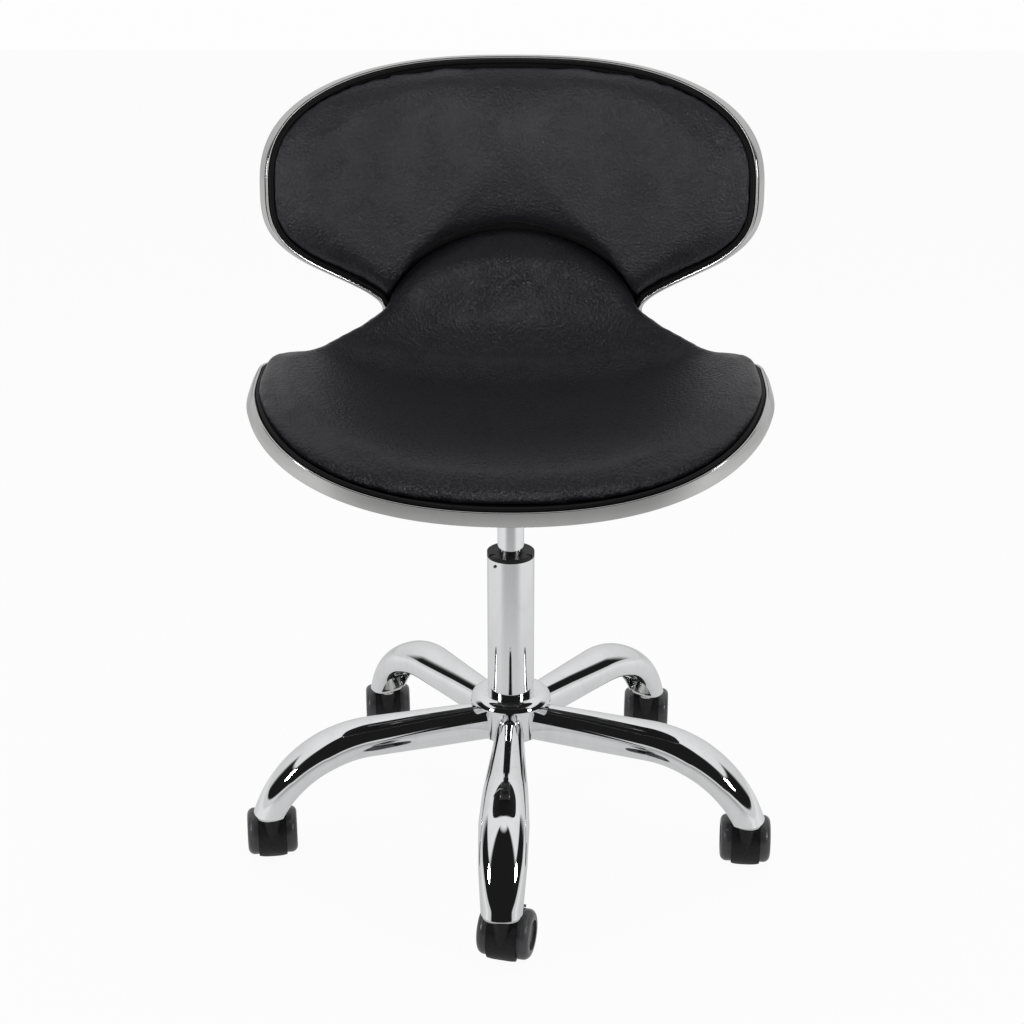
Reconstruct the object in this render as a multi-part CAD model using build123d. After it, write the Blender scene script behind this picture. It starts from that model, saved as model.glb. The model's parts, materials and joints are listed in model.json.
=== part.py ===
from build123d import *
import os
from math import cos, hypot, pi, radians, sin, sqrt, tan

# Rolling stylist stool: a bent saddle shell with two pads on a gas lift, over a five-arm caster base.
# Millimetres, +Z up. The origin is on the floor under the lift column; the sitter faces -Y.

# ---- seat shell: a spine of tangent arcs in the YZ plane, crossed by flat arcs ----
SPINE_FRONT = -208.0                   # Y of the spine under the front edge
SPINE_ABOVE_PLATE = 4.0                # height of that point over the seat plate
SPINE_HEADING = 11.5                   # degrees above horizontal at the front
SPINE_ARCS = ((120.0, -14.0), (145.0, 10.0), (145.0, 72.0), (265.0, 7.7))  # length, turn in degrees
CROSS_RADIUS_FRONT = 640.0             # sideways dish of the shell at the front edge
CROSS_RADIUS_SEAT = 530.0
CROSS_RADIUS_BACK = 456.0
FRONT_BLEND = (0.0, 150.0)             # along the spine, where one dish turns into the next
BACK_BLEND = (250.0, 400.0)

SEAT_FRONT = 15.3                      # along the spine
SEAT_WIDEST = 228.0
SEAT_HALF_WIDTH = 258.0
SEAT_FULLNESS = 3.3                    # power of the superellipse
BACK_WIDEST = 543.7
BACK_TOP = 675.3
BACK_HALF_WIDTH = 253.9
BACK_FULLNESS = 2.66
NECK = ((300.0, 219.0, -0.72), (355.0, 178.0, -0.78), (409.0, 135.0, -0.2), (462.0, 207.0, 1.7))
END_HALF_WIDTH = 40.0                  # the outline closes with a short straight edge at both ends
OUTLINE_STATIONS = 34

SHELL_THICKNESS = 12.0
LINING_THICKNESS = 2.2
RIM_THICKNESS = 3.0
RIM_OVERHANG = 2.0                     # past both faces of the shell
SKIN_GAP = 0.2                         # between layers that are glued together
WELT_WIDTH = 5.5
WELT_HEIGHT = 4.5

# ---- pads ----
PAD_INSET = 7.0
PAD_GAP = 1.5                          # between the two pads
PAD_BED = 1.8                          # between a pad and the shell
PAD_EDGE = 16.0                        # height of the upright side of a pad
SEAT_PAD_HEIGHT = 32.0
BACK_PAD_HEIGHT = 24.0
PAD_ROLL = 60.0                        # how far in from its ends a pad reaches its full height
TONGUE_TOP = 495.0                     # the seat pad runs up in front of the back pad to here
BACK_PAD_START = 415.0
TONGUE_STATIONS = 9

# ---- seat fixing ----
PLATE_LENGTH = 170.0
PLATE_WIDTH = 150.0
PLATE_THICKNESS = 4.0
PLATE_ABOVE_LIFT = 18.0
PLATE_CORNER = 16.0
SPACER_LENGTH = 164.0
SPACER_WIDTH = 144.0
SPACER_CORNER = 14.0
SPACER_GAP = 0.5
SPACER_STOCK = 60.0                    # height of the block before it is shaped
BOLT_SPACING_X = 116.0
BOLT_SPACING_Y = 120.0
BOLT_DIAMETER = 8.0
BOLT_HEAD_ACROSS = 13.0
BOLT_HEAD_HEIGHT = 5.3
BOLT_CLEARANCE = 0.3
NUT_BARREL = 10.0
NUT_FLANGE = 19.0
NUT_FLANGE_THICKNESS = 1.5
NUT_FLANGE_LIFT = 4.0                  # keeps the flat flange off the dished shell
NUT_POCKET_CLEARANCE = 1.0
NUT_CLEARANCE = 0.1

HOUSING_X = 68.0
HOUSING_Y = 80.0
HOUSING_WALL = 3.0
HOUSING_HEIGHT = 36.0
SOCKET_WALL = 6.0
SOCKET_END_GAP = 0.5                   # the socket stops this far above the end of the taper

# ---- lift column ----
TUBE_RADIUS = 25.0
TUBE_WALL = 2.0
TUBE_INSET = 4.0                       # the tube stops this far above the hub's lower face
TUBE_LENGTH = 203.0
TUBE_FLOOR = 5.0
BUSH_FLANGE = 5.0
BUSH_LENGTH = 63.0
BUSH_SLOT_WIDTH = 3.0
BUSH_SLOTS = 3
RIVET_RADIUS = 1.6
RIVET_STANDOUT = 1.2
RIVET_BELOW_TOP = 5.0
RIVET_ANGLES = (-130.0, 50.0)
BEARING_HEIGHT = 5.0
BEARING_SIDE_GAP = 3.0                 # to the inside of the tube
ROD_RADIUS = 5.0
ROD_SHOULDER_WIDTH = 4.0
ROD_SHOULDER_HEIGHT = 4.0
ROD_END_BELOW = 3.2
PISTON_HEIGHT = 8.0
PISTON_BELOW_TUBE_TOP = 25.0
CLIP_WIDTH = 3.5
CLIP_THICKNESS = 1.3
CLIP_GROOVE = 1.2
LIFT_RADIUS = 14.0
LIFT_REST_GAP = 5.0                    # over the bearing, at the lowest seat height
LIFT_LENGTH = 251.0                    # of the straight part
LIFT_WALL = 2.5
LIFT_FLOOR = 13.0
LIFT_CONE_LENGTH = 30.0
LIFT_TAPER = 0.75                      # how much smaller the radius is at the top of the cone
LIFT_HEAD = 18.0
PIN_RADIUS = 3.0
PIN_ABOVE = 4.2
PIN_DOME = 1.0                         # rounding of the pin's top, which lets the lever roll over it
RUNNING_CLEARANCE = 0.06               # radial, wherever one piece turns or slides in another
SEATED_CLEARANCE = 0.04                # radial, wherever one piece is pressed into another

# ---- lever ----
LEVER_RADIUS = 4.0
LEVER_ABOVE_LIFT = 8.5
LEVER_INNER = 6.0                      # past the column axis
LEVER_PIVOT = 25.0                     # from the column axis, towards -X
LEVER_BEND = 40.0
LEVER_DROP_END = 84.0
LEVER_DROP = 16.5
LEVER_REACH = 198.0
LEVER_BEND_RADIUS = 14.0
LEVER_PIN_RADIUS = 2.0
LEVER_SLOT_CLEARANCE = 1.5
GRIP_RADIUS = 7.5
GRIP_LENGTH = 62.0
GRIP_END = 3.0

# ---- five-arm base ----
ARMS = 5
BASE_TURN = -91.3                      # direction of the first arm, degrees from +X
HUB_WALL = 8.0
HUB_LIFT = 2.5                         # the hub stands this much higher than the arms' inner ends
HUB_CHAMFER = 1.0
COLLAR_OVERHANG = 10.5                 # past the hub
COLLAR_HEIGHT = 10.0
COLLAR_EDGE = 1.6
COLLAR_TOP_WIDTH = 5.0
COLLAR_SHOULDER = (0.7, 0.72)          # where the dome passes: share of the way out, share of the height
ARM_HEIGHT = 135.5                     # centre line of the level part
ARM_BEND_START = 156.0                 # from the column axis
ARM_BEND_RADIUS = 122.0
ARM_BEND_ANGLE = 66.0
ARM_TIP_OVERRUN = 14.6                 # the tube runs on this far before its tip is cut level
ARM_WALL = 2.2
ARM_CORNER = 0.34                      # corner radius as a share of the section's height
ARM_SECTIONS = ((0.0, 30.0, 40.0), (0.213, 37.0, 39.5), (0.444, 46.0, 37.0), (0.621, 51.0, 34.0),
                (0.781, 48.5, 31.0), (0.938, 42.0, 28.5), (1.0, 41.0, 28.0))  # share of run, width, height
ARM_BURIED = 12.5                      # how far the blank arm starts inside the hub before it is cut
WINDOW_WIDTH = 31.0
WINDOW_HEIGHT = 31.0
WINDOW_LENGTH = 44.0
WINDOW_CORNER = 0.42                   # corner radius as a share of the window's width
WINDOW_DEPTH = 7.0                     # how far inside the stem axis the window stops

# ---- stem and socket ----
STEM_INSET = 2.84                      # inwards from the middle of the arm's cut tip
STEM_RADIUS = 5.5
STEM_IN_SOCKET = 20.0
STEM_DOME = 0.8                        # radius of the domed end as a share of the stem's radius
SOCKET_FLANGE = (28.0, 37.0, 2.4)      # across the arm's depth, across its width, thickness
SOCKET_FLANGE_CORNER = 12.0
SOCKET_FLANGE_SHIFT = 2.0              # outwards from the stem
SOCKET_FLANGE_GAP = 0.1
BELL_BOTTOM_RADIUS = 11.0
BELL_TOP_RADIUS = 7.4
BELL_HEIGHT = 12.0
STEM_COLLAR_RADIUS = 7.6
STEM_COLLAR_HEIGHT = 2.0
PINTLE_RADIUS = 4.0
PINTLE_DEPTH = 28.5

# ---- casters ----
WHEEL_RADIUS = 25.0
CASTER_TRAIL = 20.0
CASTER_HALF_WIDTH = 26.5
HOOD_HALF_WIDTH = 15.0
HOOD_WALL = 2.6
HOOD_WHEEL_GAP = 0.9
HOOD_FROM = 48.0                       # the hood's sweep about the axle, degrees from the trailing side
HOOD_TO = 236.0
HOOD_SKIRT_RISE = 5.5                  # the front edge rises this much towards its two ends
HOOD_BOSS_RADIUS = 8.5
HOOD_BOSS_RISE = 0.84                  # over the drum, under the edge of the stem's collar
HOOD_ARM_GAP = 4.0                     # air between the stem's collar and the socket's flange
WEB_HALF_WIDTH = 6.6
WEB_HUB_RADIUS = 10.0
WEB_WHEEL_GAP = 0.7
AXLE_RADIUS = 3.0
AXLE_HALF_LENGTH = 20.0
WHEEL_SHOULDER = 7.0
WHEEL_FACE_RADIUS = 15.0
WHEEL_FACE_DEPTH = 2.5
WHEEL_INNER_EDGE = 1.0
CASTER_YAWS = (-14.0, -4.0, -4.0, 5.0, 8.0)   # how far each caster trails away from straight back

# ---- sizes that follow from the ones above ----
HALF_SHELL = SHELL_THICKNESS / 2
RIM_HALF_HEIGHT = HALF_SHELL + RIM_OVERHANG

HUB_RADIUS = TUBE_RADIUS + HUB_WALL
HUB_BOTTOM = ARM_HEIGHT - ARM_SECTIONS[0][2] / 2 + HUB_LIFT
HUB_TOP = ARM_HEIGHT + ARM_SECTIONS[0][2] / 2 + HUB_LIFT
COLLAR_RADIUS = HUB_RADIUS + COLLAR_OVERHANG
COLLAR_TOP_RADIUS = TUBE_RADIUS + COLLAR_TOP_WIDTH

TUBE_BOTTOM = HUB_BOTTOM + TUBE_INSET
TUBE_TOP = TUBE_BOTTOM + TUBE_LENGTH
TUBE_BORE = TUBE_RADIUS - TUBE_WALL
BEARING_RADIUS = TUBE_BORE - BEARING_SIDE_GAP
BEARING_TOP = TUBE_BOTTOM + TUBE_FLOOR + BEARING_HEIGHT
PISTON_BOTTOM = TUBE_TOP - PISTON_BELOW_TUBE_TOP
LIFT_BOTTOM = BEARING_TOP + LIFT_REST_GAP
LIFT_CONE_BOTTOM = LIFT_BOTTOM + LIFT_LENGTH
LIFT_TOP = LIFT_CONE_BOTTOM + LIFT_CONE_LENGTH
LIFT_TOP_RADIUS = LIFT_RADIUS - LIFT_TAPER

PLATE_TOP = LIFT_TOP + PLATE_ABOVE_LIFT
SPINE_START = (SPINE_FRONT, PLATE_TOP + SPINE_ABOVE_PLATE)
HOUSING_BOTTOM = PLATE_TOP - PLATE_THICKNESS - HOUSING_HEIGHT
SOCKET_RADIUS = LIFT_RADIUS + SOCKET_WALL
SOCKET_BOTTOM = LIFT_CONE_BOTTOM + SOCKET_END_GAP
LEVER_HEIGHT = LIFT_TOP + LEVER_ABOVE_LIFT

HOOD_INNER = WHEEL_RADIUS + HOOD_WHEEL_GAP
HOOD_OUTER = HOOD_INNER + HOOD_WALL
HOOD_BOSS_TOP = (WHEEL_RADIUS + sqrt(HOOD_OUTER ** 2 - (CASTER_TRAIL - STEM_COLLAR_RADIUS) ** 2)
                 + HOOD_BOSS_RISE)
ARM_TIP_CUT = HOOD_BOSS_TOP + STEM_COLLAR_HEIGHT + HOOD_ARM_GAP + SOCKET_FLANGE[2] + SOCKET_FLANGE_GAP
ARM_BEND_RUN = ARM_BEND_RADIUS * radians(ARM_BEND_ANGLE)
ARM_BEND_DROP = ARM_BEND_RADIUS * (1 - cos(radians(ARM_BEND_ANGLE)))
ARM_STRAIGHT_DROP = ARM_HEIGHT - ARM_TIP_CUT - ARM_BEND_DROP
ARM_RUN = (ARM_BEND_START - HUB_RADIUS + ARM_BEND_RUN + ARM_STRAIGHT_DROP / sin(radians(ARM_BEND_ANGLE))
           + ARM_TIP_OVERRUN)
STEM_CIRCLE = (ARM_BEND_START + ARM_BEND_RADIUS * sin(radians(ARM_BEND_ANGLE))
               + ARM_STRAIGHT_DROP / tan(radians(ARM_BEND_ANGLE)) - STEM_INSET)
STEM_TOP = ARM_TIP_CUT + STEM_IN_SOCKET
WINDOW_OUTER = STEM_CIRCLE - WINDOW_DEPTH
WINDOW_INNER = WINDOW_OUTER - WINDOW_LENGTH
WINDOW_TOP = ARM_TIP_CUT + WINDOW_HEIGHT


def smooth(value, span):
    """Blend from 0 to 1 while value crosses span, level at both ends."""
    q = min(1.0, max(0.0, (value - span[0]) / (span[1] - span[0])))
    return q * q * (3 - 2 * q)


def spine(t):
    """Y, Z and heading (radians) of the spine at arc length t."""
    y, z, heading = SPINE_START[0], SPINE_START[1], radians(SPINE_HEADING)
    remaining = t
    for index, (length, turn) in enumerate(SPINE_ARCS):
        run = remaining if index == len(SPINE_ARCS) - 1 else min(remaining, length)
        bend = radians(turn) / length
        end = heading + bend * run
        y += (sin(end) - sin(heading)) / bend
        z -= (cos(end) - cos(heading)) / bend
        heading = end
        remaining -= run
        if remaining <= 0:
            break
    return y, z, heading


def cross_radius(t):
    """Radius of the sideways arc at arc length t."""
    front, seat, back = 1 / CROSS_RADIUS_FRONT, 1 / CROSS_RADIUS_SEAT, 1 / CROSS_RADIUS_BACK
    return 1 / (front + (seat - front) * smooth(t, FRONT_BLEND) + (back - seat) * smooth(t, BACK_BLEND))


def on_shell(t, x, lift=0.0):
    """Point at arc length t and sideways distance x, lifted off the middle surface towards the sitter."""
    y, z, heading = spine(t)
    radius = cross_radius(t)
    rise = radius - sqrt(radius ** 2 - x ** 2) + lift
    return Vector(x, y - sin(heading) * rise, z + cos(heading) * rise)


def hermite(start, end, t):
    """Half width between two knots (t, half width, slope)."""
    span = end[0] - start[0]
    q = (t - start[0]) / span
    return ((2 * q ** 3 - 3 * q ** 2 + 1) * start[1] + (q ** 3 - 2 * q ** 2 + q) * span * start[2]
            + (3 * q ** 2 - 2 * q ** 3) * end[1] + (q ** 3 - q ** 2) * span * end[2])


def half_outline(steps=160):
    """The right half of the outline as (t, half width) points, front to top, finely stepped."""
    points = []
    for step in range(steps):
        angle = pi / 2 * (1 - step / steps)
        width = SEAT_HALF_WIDTH * cos(angle) ** (2 / SEAT_FULLNESS)
        if width >= END_HALF_WIDTH:
            depth = (SEAT_WIDEST - SEAT_FRONT) * sin(angle) ** (2 / SEAT_FULLNESS)
            points.append((SEAT_WIDEST - depth, width))
    knots = ((SEAT_WIDEST, SEAT_HALF_WIDTH, 0.0),) + NECK + ((BACK_WIDEST, BACK_HALF_WIDTH, 0.0),)
    for start, end in zip(knots, knots[1:]):
        for step in range(steps // 4):
            t = start[0] + (end[0] - start[0]) * step / (steps // 4)
            points.append((t, hermite(start, end, t)))
    for step in range(steps):
        angle = pi / 2 * step / steps
        width = BACK_HALF_WIDTH * cos(angle) ** (2 / BACK_FULLNESS)
        if width >= END_HALF_WIDTH:
            depth = (BACK_TOP - BACK_WIDEST) * sin(angle) ** (2 / BACK_FULLNESS)
            points.append((BACK_WIDEST + depth, width))
    return points


def evenly(points, count):
    """Pick count points at equal distances along a finely stepped line."""
    runs = [0.0]
    for (t0, w0), (t1, w1) in zip(points, points[1:]):
        runs.append(runs[-1] + hypot(t1 - t0, w1 - w0))
    picked, index = [], 0
    for k in range(count):
        target = runs[-1] * k / (count - 1)
        while index < len(runs) - 2 and runs[index + 1] < target:
            index += 1
        share = (target - runs[index]) / (runs[index + 1] - runs[index])
        (t0, w0), (t1, w1) = points[index], points[index + 1]
        picked.append((t0 + (t1 - t0) * share, w0 + (w1 - w0) * share))
    return picked


def offset_line(points, distance):
    """Move a half outline outwards; its two ends move straight along the spine."""
    moved = [(points[0][0] - distance, points[0][1])]
    for (t0, w0), (t, w), (t1, w1) in zip(points, points[1:], points[2:]):
        length = hypot(t1 - t0, w1 - w0)
        moved.append((t - distance * (w1 - w0) / length, w + distance * (t1 - t0) / length))
    moved.append((points[-1][0] + distance, points[-1][1]))
    return moved


def outline(distance=0.0):
    """Stations (t, half width) of the whole outline, moved outwards by distance."""
    return offset_line(evenly(half_outline(), OUTLINE_STATIONS), distance)


def section(t, half_width, low, high, crown=0.0):
    """Closed wire across the shell between two heights; crown raises the middle of the upper edge."""
    lower = [on_shell(t, side * half_width, low) for side in (-1, 0, 1)]
    upper = [on_shell(t, side * half_width, high + (crown if side == 0 else 0)) for side in (-1, 0, 1)]
    edges = [ThreePointArc(*lower), Line(lower[2], upper[2]), ThreePointArc(*reversed(upper)),
             Line(upper[0], lower[0])]
    return Wire([edge.edge() for edge in edges])


def layer(stations, low, high):
    """A sheet that follows the shell inside the stations, between two heights."""
    return Solid.make_loft([section(t, width, low, high) for t, width in stations])


def pad(stations, full_height):
    """A cushion on the shell: low along its edge, crowned in the middle and rolled down at its ends."""
    low = HALF_SHELL + PAD_BED
    first, last = stations[0][0], stations[-1][0]
    wires = []
    for t, width in stations:
        inside = min(1.0, min(t - first, last - t) / PAD_ROLL)
        crown = (full_height - PAD_EDGE) * sqrt(1 - (1 - inside) ** 2)
        wires.append(section(t, width, low, low + PAD_EDGE, crown))
    return Solid.make_loft(wires)


def vertical_rod(radius, bottom, top, x=0.0, y=0.0):
    """Upright cylinder between two heights."""
    return Pos(x, y, (bottom + top) / 2) * Cylinder(radius, top - bottom)


def bolt_places():
    """X and Y of the four seat bolts."""
    return [(side * BOLT_SPACING_X / 2, end * BOLT_SPACING_Y / 2) for side in (-1, 1) for end in (-1, 1)]


def shell_top_at(x, y):
    """Height of the shell's upper face over a point near the column."""
    low, high = 0.0, sum(length for length, turn in SPINE_ARCS[:2])
    for _ in range(40):
        middle = (low + high) / 2
        low, high = (middle, high) if on_shell(middle, x, HALF_SHELL).Y < y else (low, middle)
    return on_shell(low, x, HALF_SHELL).Z


def seat_shell():
    """Bent plywood shell, drilled for the four barrel nuts."""
    shell = layer(outline(-SKIN_GAP), -HALF_SHELL, HALF_SHELL)
    for x, y in bolt_places():
        top = shell_top_at(x, y) + SHELL_THICKNESS
        shell -= vertical_rod(NUT_BARREL / 2 + NUT_CLEARANCE, PLATE_TOP, top, x, y)
    return shell


def shell_lining():
    """Thin cover on the back and underside of the shell."""
    top = -HALF_SHELL - SKIN_GAP
    lining = layer(outline(-SKIN_GAP), top - LINING_THICKNESS, top)
    for x, y in bolt_places():
        lining -= vertical_rod(NUT_BARREL / 2 + NUT_CLEARANCE, PLATE_TOP, shell_top_at(x, y), x, y)
    return lining


def rim_trim():
    """Metal band around the whole edge."""
    through = SHELL_THICKNESS
    return (layer(outline(RIM_THICKNESS), -RIM_HALF_HEIGHT, RIM_HALF_HEIGHT)
            - layer(outline(), -RIM_HALF_HEIGHT - through, RIM_HALF_HEIGHT + through))


def edge_welt():
    """Piped cord line between the band and the pads."""
    low = HALF_SHELL + SKIN_GAP
    return (layer(outline(-SKIN_GAP), low, low + WELT_HEIGHT)
            - layer(outline(-WELT_WIDTH), low - HALF_SHELL, low + 2 * WELT_HEIGHT))


def seat_pad_stations(extra=0.0):
    """The seat pad's outline: inside the rim up to the neck, then a rounded tongue."""
    inside = outline(-PAD_INSET)
    neck = min(range(len(inside)), key=lambda k: inside[k][1] if SEAT_WIDEST < inside[k][0] < BACK_WIDEST
               else BACK_HALF_WIDTH + SEAT_HALF_WIDTH)
    neck_t, neck_width = inside[neck]
    tongue = []
    for step in range(1, TONGUE_STATIONS + 1):
        angle = pi / 2 * step / (TONGUE_STATIONS + 0.6)
        tongue.append((neck_t + (TONGUE_TOP - neck_t) * sin(angle), neck_width * cos(angle)))
    return offset_line(inside[:neck + 1] + tongue, extra)


def seat_pad():
    """Seat cushion with its tongue, hollowed over the nut flanges."""
    cushion = pad(seat_pad_stations(), SEAT_PAD_HEIGHT)
    for x, y in bolt_places():
        top = shell_top_at(x, y)
        pocket_top = top + NUT_FLANGE_LIFT + NUT_FLANGE_THICKNESS + NUT_POCKET_CLEARANCE
        pocket_radius = NUT_FLANGE / 2 + NUT_POCKET_CLEARANCE
        cushion -= vertical_rod(pocket_radius, top - SHELL_THICKNESS, pocket_top, x, y)
    return cushion


def back_pad():
    """Back cushion, cut away around the tongue."""
    stations = [(t, width) for t, width in outline(-PAD_INSET) if t > BACK_PAD_START]
    cushion = pad(stations, BACK_PAD_HEIGHT)
    tongue = [(t, width) for t, width in seat_pad_stations(PAD_GAP) if t > SEAT_WIDEST]
    return cushion - layer(tongue, 0.0, BACK_PAD_HEIGHT + SHELL_THICKNESS + SEAT_PAD_HEIGHT)


def spacer_block():
    """Block between the flat plate and the curved underside."""
    block = extrude(Pos(0, 0, PLATE_TOP) * RectangleRounded(SPACER_WIDTH, SPACER_LENGTH, SPACER_CORNER),
                    SPACER_STOCK)
    underside = -HALF_SHELL - SKIN_GAP - LINING_THICKNESS - SPACER_GAP
    block -= layer(outline(SHELL_THICKNESS), underside, underside + 2 * SPACER_STOCK)
    for x, y in bolt_places():
        block -= vertical_rod(BOLT_DIAMETER / 2 + BOLT_CLEARANCE, PLATE_TOP, PLATE_TOP + SPACER_STOCK, x, y)
    return block


def mount_plate():
    """Pressed steel plate bolted under the seat."""
    bottom = PLATE_TOP - PLATE_THICKNESS
    plate = extrude(Pos(0, 0, bottom) * RectangleRounded(PLATE_WIDTH, PLATE_LENGTH, PLATE_CORNER),
                    PLATE_THICKNESS)
    for x, y in bolt_places():
        plate -= vertical_rod(BOLT_DIAMETER / 2 + BOLT_CLEARANCE, bottom, PLATE_TOP, x, y)
    return plate


def lever_housing():
    """Box under the plate with the tapered socket for the lift and a slot for the lever."""
    top = PLATE_TOP - PLATE_THICKNESS
    height = top - HOUSING_BOTTOM
    box = Pos(0, 0, HOUSING_BOTTOM + height / 2) * Box(HOUSING_X, HOUSING_Y, height)
    box -= (Pos(0, 0, HOUSING_BOTTOM + HOUSING_WALL + height / 2)
            * Box(HOUSING_X - 2 * HOUSING_WALL, HOUSING_Y - 2 * HOUSING_WALL, height))
    box += vertical_rod(SOCKET_RADIUS, SOCKET_BOTTOM, LIFT_TOP - HOUSING_WALL)
    taper = Pos(0, 0, (LIFT_CONE_BOTTOM + LIFT_TOP) / 2) * Cone(
        LIFT_RADIUS + SEATED_CLEARANCE, LIFT_TOP_RADIUS + SEATED_CLEARANCE, LIFT_TOP - LIFT_CONE_BOTTOM)
    box -= taper
    slot = LEVER_RADIUS + LEVER_SLOT_CLEARANCE
    box -= (Pos(-HOUSING_X / 2, 0, top)
            * Box(4 * HOUSING_WALL, 2 * slot, 2 * (top - LEVER_HEIGHT + slot)))
    pin_hole = Pos(-LEVER_PIVOT, 0, LEVER_HEIGHT) * Rot(90, 0, 0) * Cylinder(
        LEVER_PIN_RADIUS + SEATED_CLEARANCE, 2 * HOUSING_Y)
    return box - pin_hole


def plate_bolts():
    """Four hexagon bolts."""
    head_top = PLATE_TOP - PLATE_THICKNESS
    bolts = []
    for x, y in bolt_places():
        head = extrude(Pos(x, y, head_top - BOLT_HEAD_HEIGHT)
                       * RegularPolygon(BOLT_HEAD_ACROSS / 2, 6, major_radius=False), BOLT_HEAD_HEIGHT)
        tip = shell_top_at(x, y)
        bolts.append(head + vertical_rod(BOLT_DIAMETER / 2, head_top, tip, x, y))
    return Compound(children=[bolt.solid() for bolt in bolts])


def barrel_nuts():
    """Four flanged barrel nuts set into the shell."""
    nuts = []
    for x, y in bolt_places():
        top = shell_top_at(x, y)
        barrel = vertical_rod(NUT_BARREL / 2, top - SHELL_THICKNESS, top, x, y)
        flange_low = top + NUT_FLANGE_LIFT
        flange = vertical_rod(NUT_FLANGE / 2, flange_low, flange_low + NUT_FLANGE_THICKNESS, x, y)
        neck = vertical_rod(NUT_BARREL / 2, top, flange_low, x, y)
        bore = vertical_rod(BOLT_DIAMETER / 2 + SEATED_CLEARANCE, top - 2 * SHELL_THICKNESS, flange_low, x, y)
        nuts.append(barrel + neck + flange - bore)
    return Compound(children=[nut.solid() for nut in nuts])


def lever_path():
    """Centre line of the lever, from its inner end out towards -X."""
    corners = [(LEVER_INNER, 0, LEVER_HEIGHT), (-LEVER_BEND, 0, LEVER_HEIGHT),
               (-LEVER_DROP_END, 0, LEVER_HEIGHT - LEVER_DROP), (-LEVER_REACH, 0, LEVER_HEIGHT - LEVER_DROP)]
    return FilletPolyline(*corners, radius=LEVER_BEND_RADIUS)


def release_lever():
    """Bent rod that rocks on the cross pin."""
    start = Plane(origin=(LEVER_INNER, 0, LEVER_HEIGHT), x_dir=(0, 1, 0), z_dir=(-1, 0, 0))
    rod = sweep(start * Circle(LEVER_RADIUS), path=lever_path())
    hole = Pos(-LEVER_PIVOT, 0, LEVER_HEIGHT) * Rot(90, 0, 0) * Cylinder(
        LEVER_PIN_RADIUS + RUNNING_CLEARANCE, 4 * LEVER_RADIUS)
    return rod - hole


def lever_grip():
    """Rounded sleeve on the lever's outer end."""
    along = Pos(-LEVER_REACH - GRIP_END + GRIP_LENGTH / 2, 0, LEVER_HEIGHT - LEVER_DROP) * Rot(0, 90, 0)
    sleeve = fillet((along * Cylinder(GRIP_RADIUS, GRIP_LENGTH)).edges().filter_by(GeomType.CIRCLE), GRIP_END)
    inside = Pos(-LEVER_REACH + GRIP_LENGTH / 2, 0, LEVER_HEIGHT - LEVER_DROP) * Rot(0, 90, 0)
    return sleeve - inside * Cylinder(LEVER_RADIUS + SEATED_CLEARANCE, GRIP_LENGTH)


def lever_pin():
    """Cross pin through the housing."""
    return (Pos(-LEVER_PIVOT, 0, LEVER_HEIGHT) * Rot(90, 0, 0)
            * Cylinder(LEVER_PIN_RADIUS, HOUSING_Y + HOUSING_WALL))


def rivet_place(angle):
    """Turns a cylinder to point out of the tube at a rivet's height and angle."""
    return Rot(0, 0, angle) * Pos(TUBE_RADIUS, 0, TUBE_TOP - RIVET_BELOW_TOP) * Rot(0, 90, 0)


def stand_tube():
    """Outer tube with a floor that the lift's rod hangs in."""
    tube = vertical_rod(TUBE_RADIUS, TUBE_BOTTOM, TUBE_TOP)
    tube -= vertical_rod(TUBE_BORE, TUBE_BOTTOM + TUBE_FLOOR, TUBE_TOP)
    tube -= vertical_rod(ROD_RADIUS + RUNNING_CLEARANCE, TUBE_BOTTOM, TUBE_BOTTOM + TUBE_FLOOR)
    wall_hole = Cylinder(RIVET_RADIUS + SEATED_CLEARANCE, 2 * (TUBE_RADIUS - LIFT_RADIUS))
    for angle in RIVET_ANGLES:
        tube -= rivet_place(angle) * wall_hole
    return tube


def guide_bush():
    """Plastic sleeve that guides the lift, slotted at its collar."""
    bush = vertical_rod(TUBE_BORE - SEATED_CLEARANCE, TUBE_TOP - BUSH_LENGTH, TUBE_TOP)
    bush += vertical_rod(TUBE_RADIUS, TUBE_TOP, TUBE_TOP + BUSH_FLANGE)
    bush -= vertical_rod(LIFT_RADIUS + RUNNING_CLEARANCE, TUBE_TOP - BUSH_LENGTH, TUBE_TOP + BUSH_FLANGE)
    for index in range(BUSH_SLOTS):
        bush -= (Rot(0, 0, 360 * index / BUSH_SLOTS + 90) * Pos(TUBE_RADIUS, 0, TUBE_TOP + BUSH_FLANGE)
                 * Box(TUBE_RADIUS - LIFT_RADIUS, BUSH_SLOT_WIDTH, BUSH_FLANGE))
    for angle in RIVET_ANGLES:
        bush -= rivet_place(angle) * Cylinder(RIVET_RADIUS + SEATED_CLEARANCE, TUBE_RADIUS - LIFT_RADIUS)
    return bush


def bush_rivets():
    """Two small rivets that hold the bush in the tube."""
    length = (TUBE_RADIUS - LIFT_RADIUS) / 2 - SEATED_CLEARANCE + RIVET_STANDOUT
    shank = Pos(0, 0, RIVET_STANDOUT - length / 2) * Cylinder(RIVET_RADIUS, length)
    return Compound(children=[(rivet_place(angle) * shank).solid() for angle in RIVET_ANGLES])


def thrust_bearing():
    """Ring that carries the load on the tube's floor."""
    bottom = TUBE_BOTTOM + TUBE_FLOOR
    return (vertical_rod(BEARING_RADIUS, bottom, bottom + BEARING_HEIGHT)
            - vertical_rod(ROD_RADIUS + RUNNING_CLEARANCE, bottom, bottom + BEARING_HEIGHT))


def clip_levels():
    """Bottom and top of the clip on the rod's end."""
    top = TUBE_BOTTOM - RUNNING_CLEARANCE
    return top - CLIP_THICKNESS, top


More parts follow.
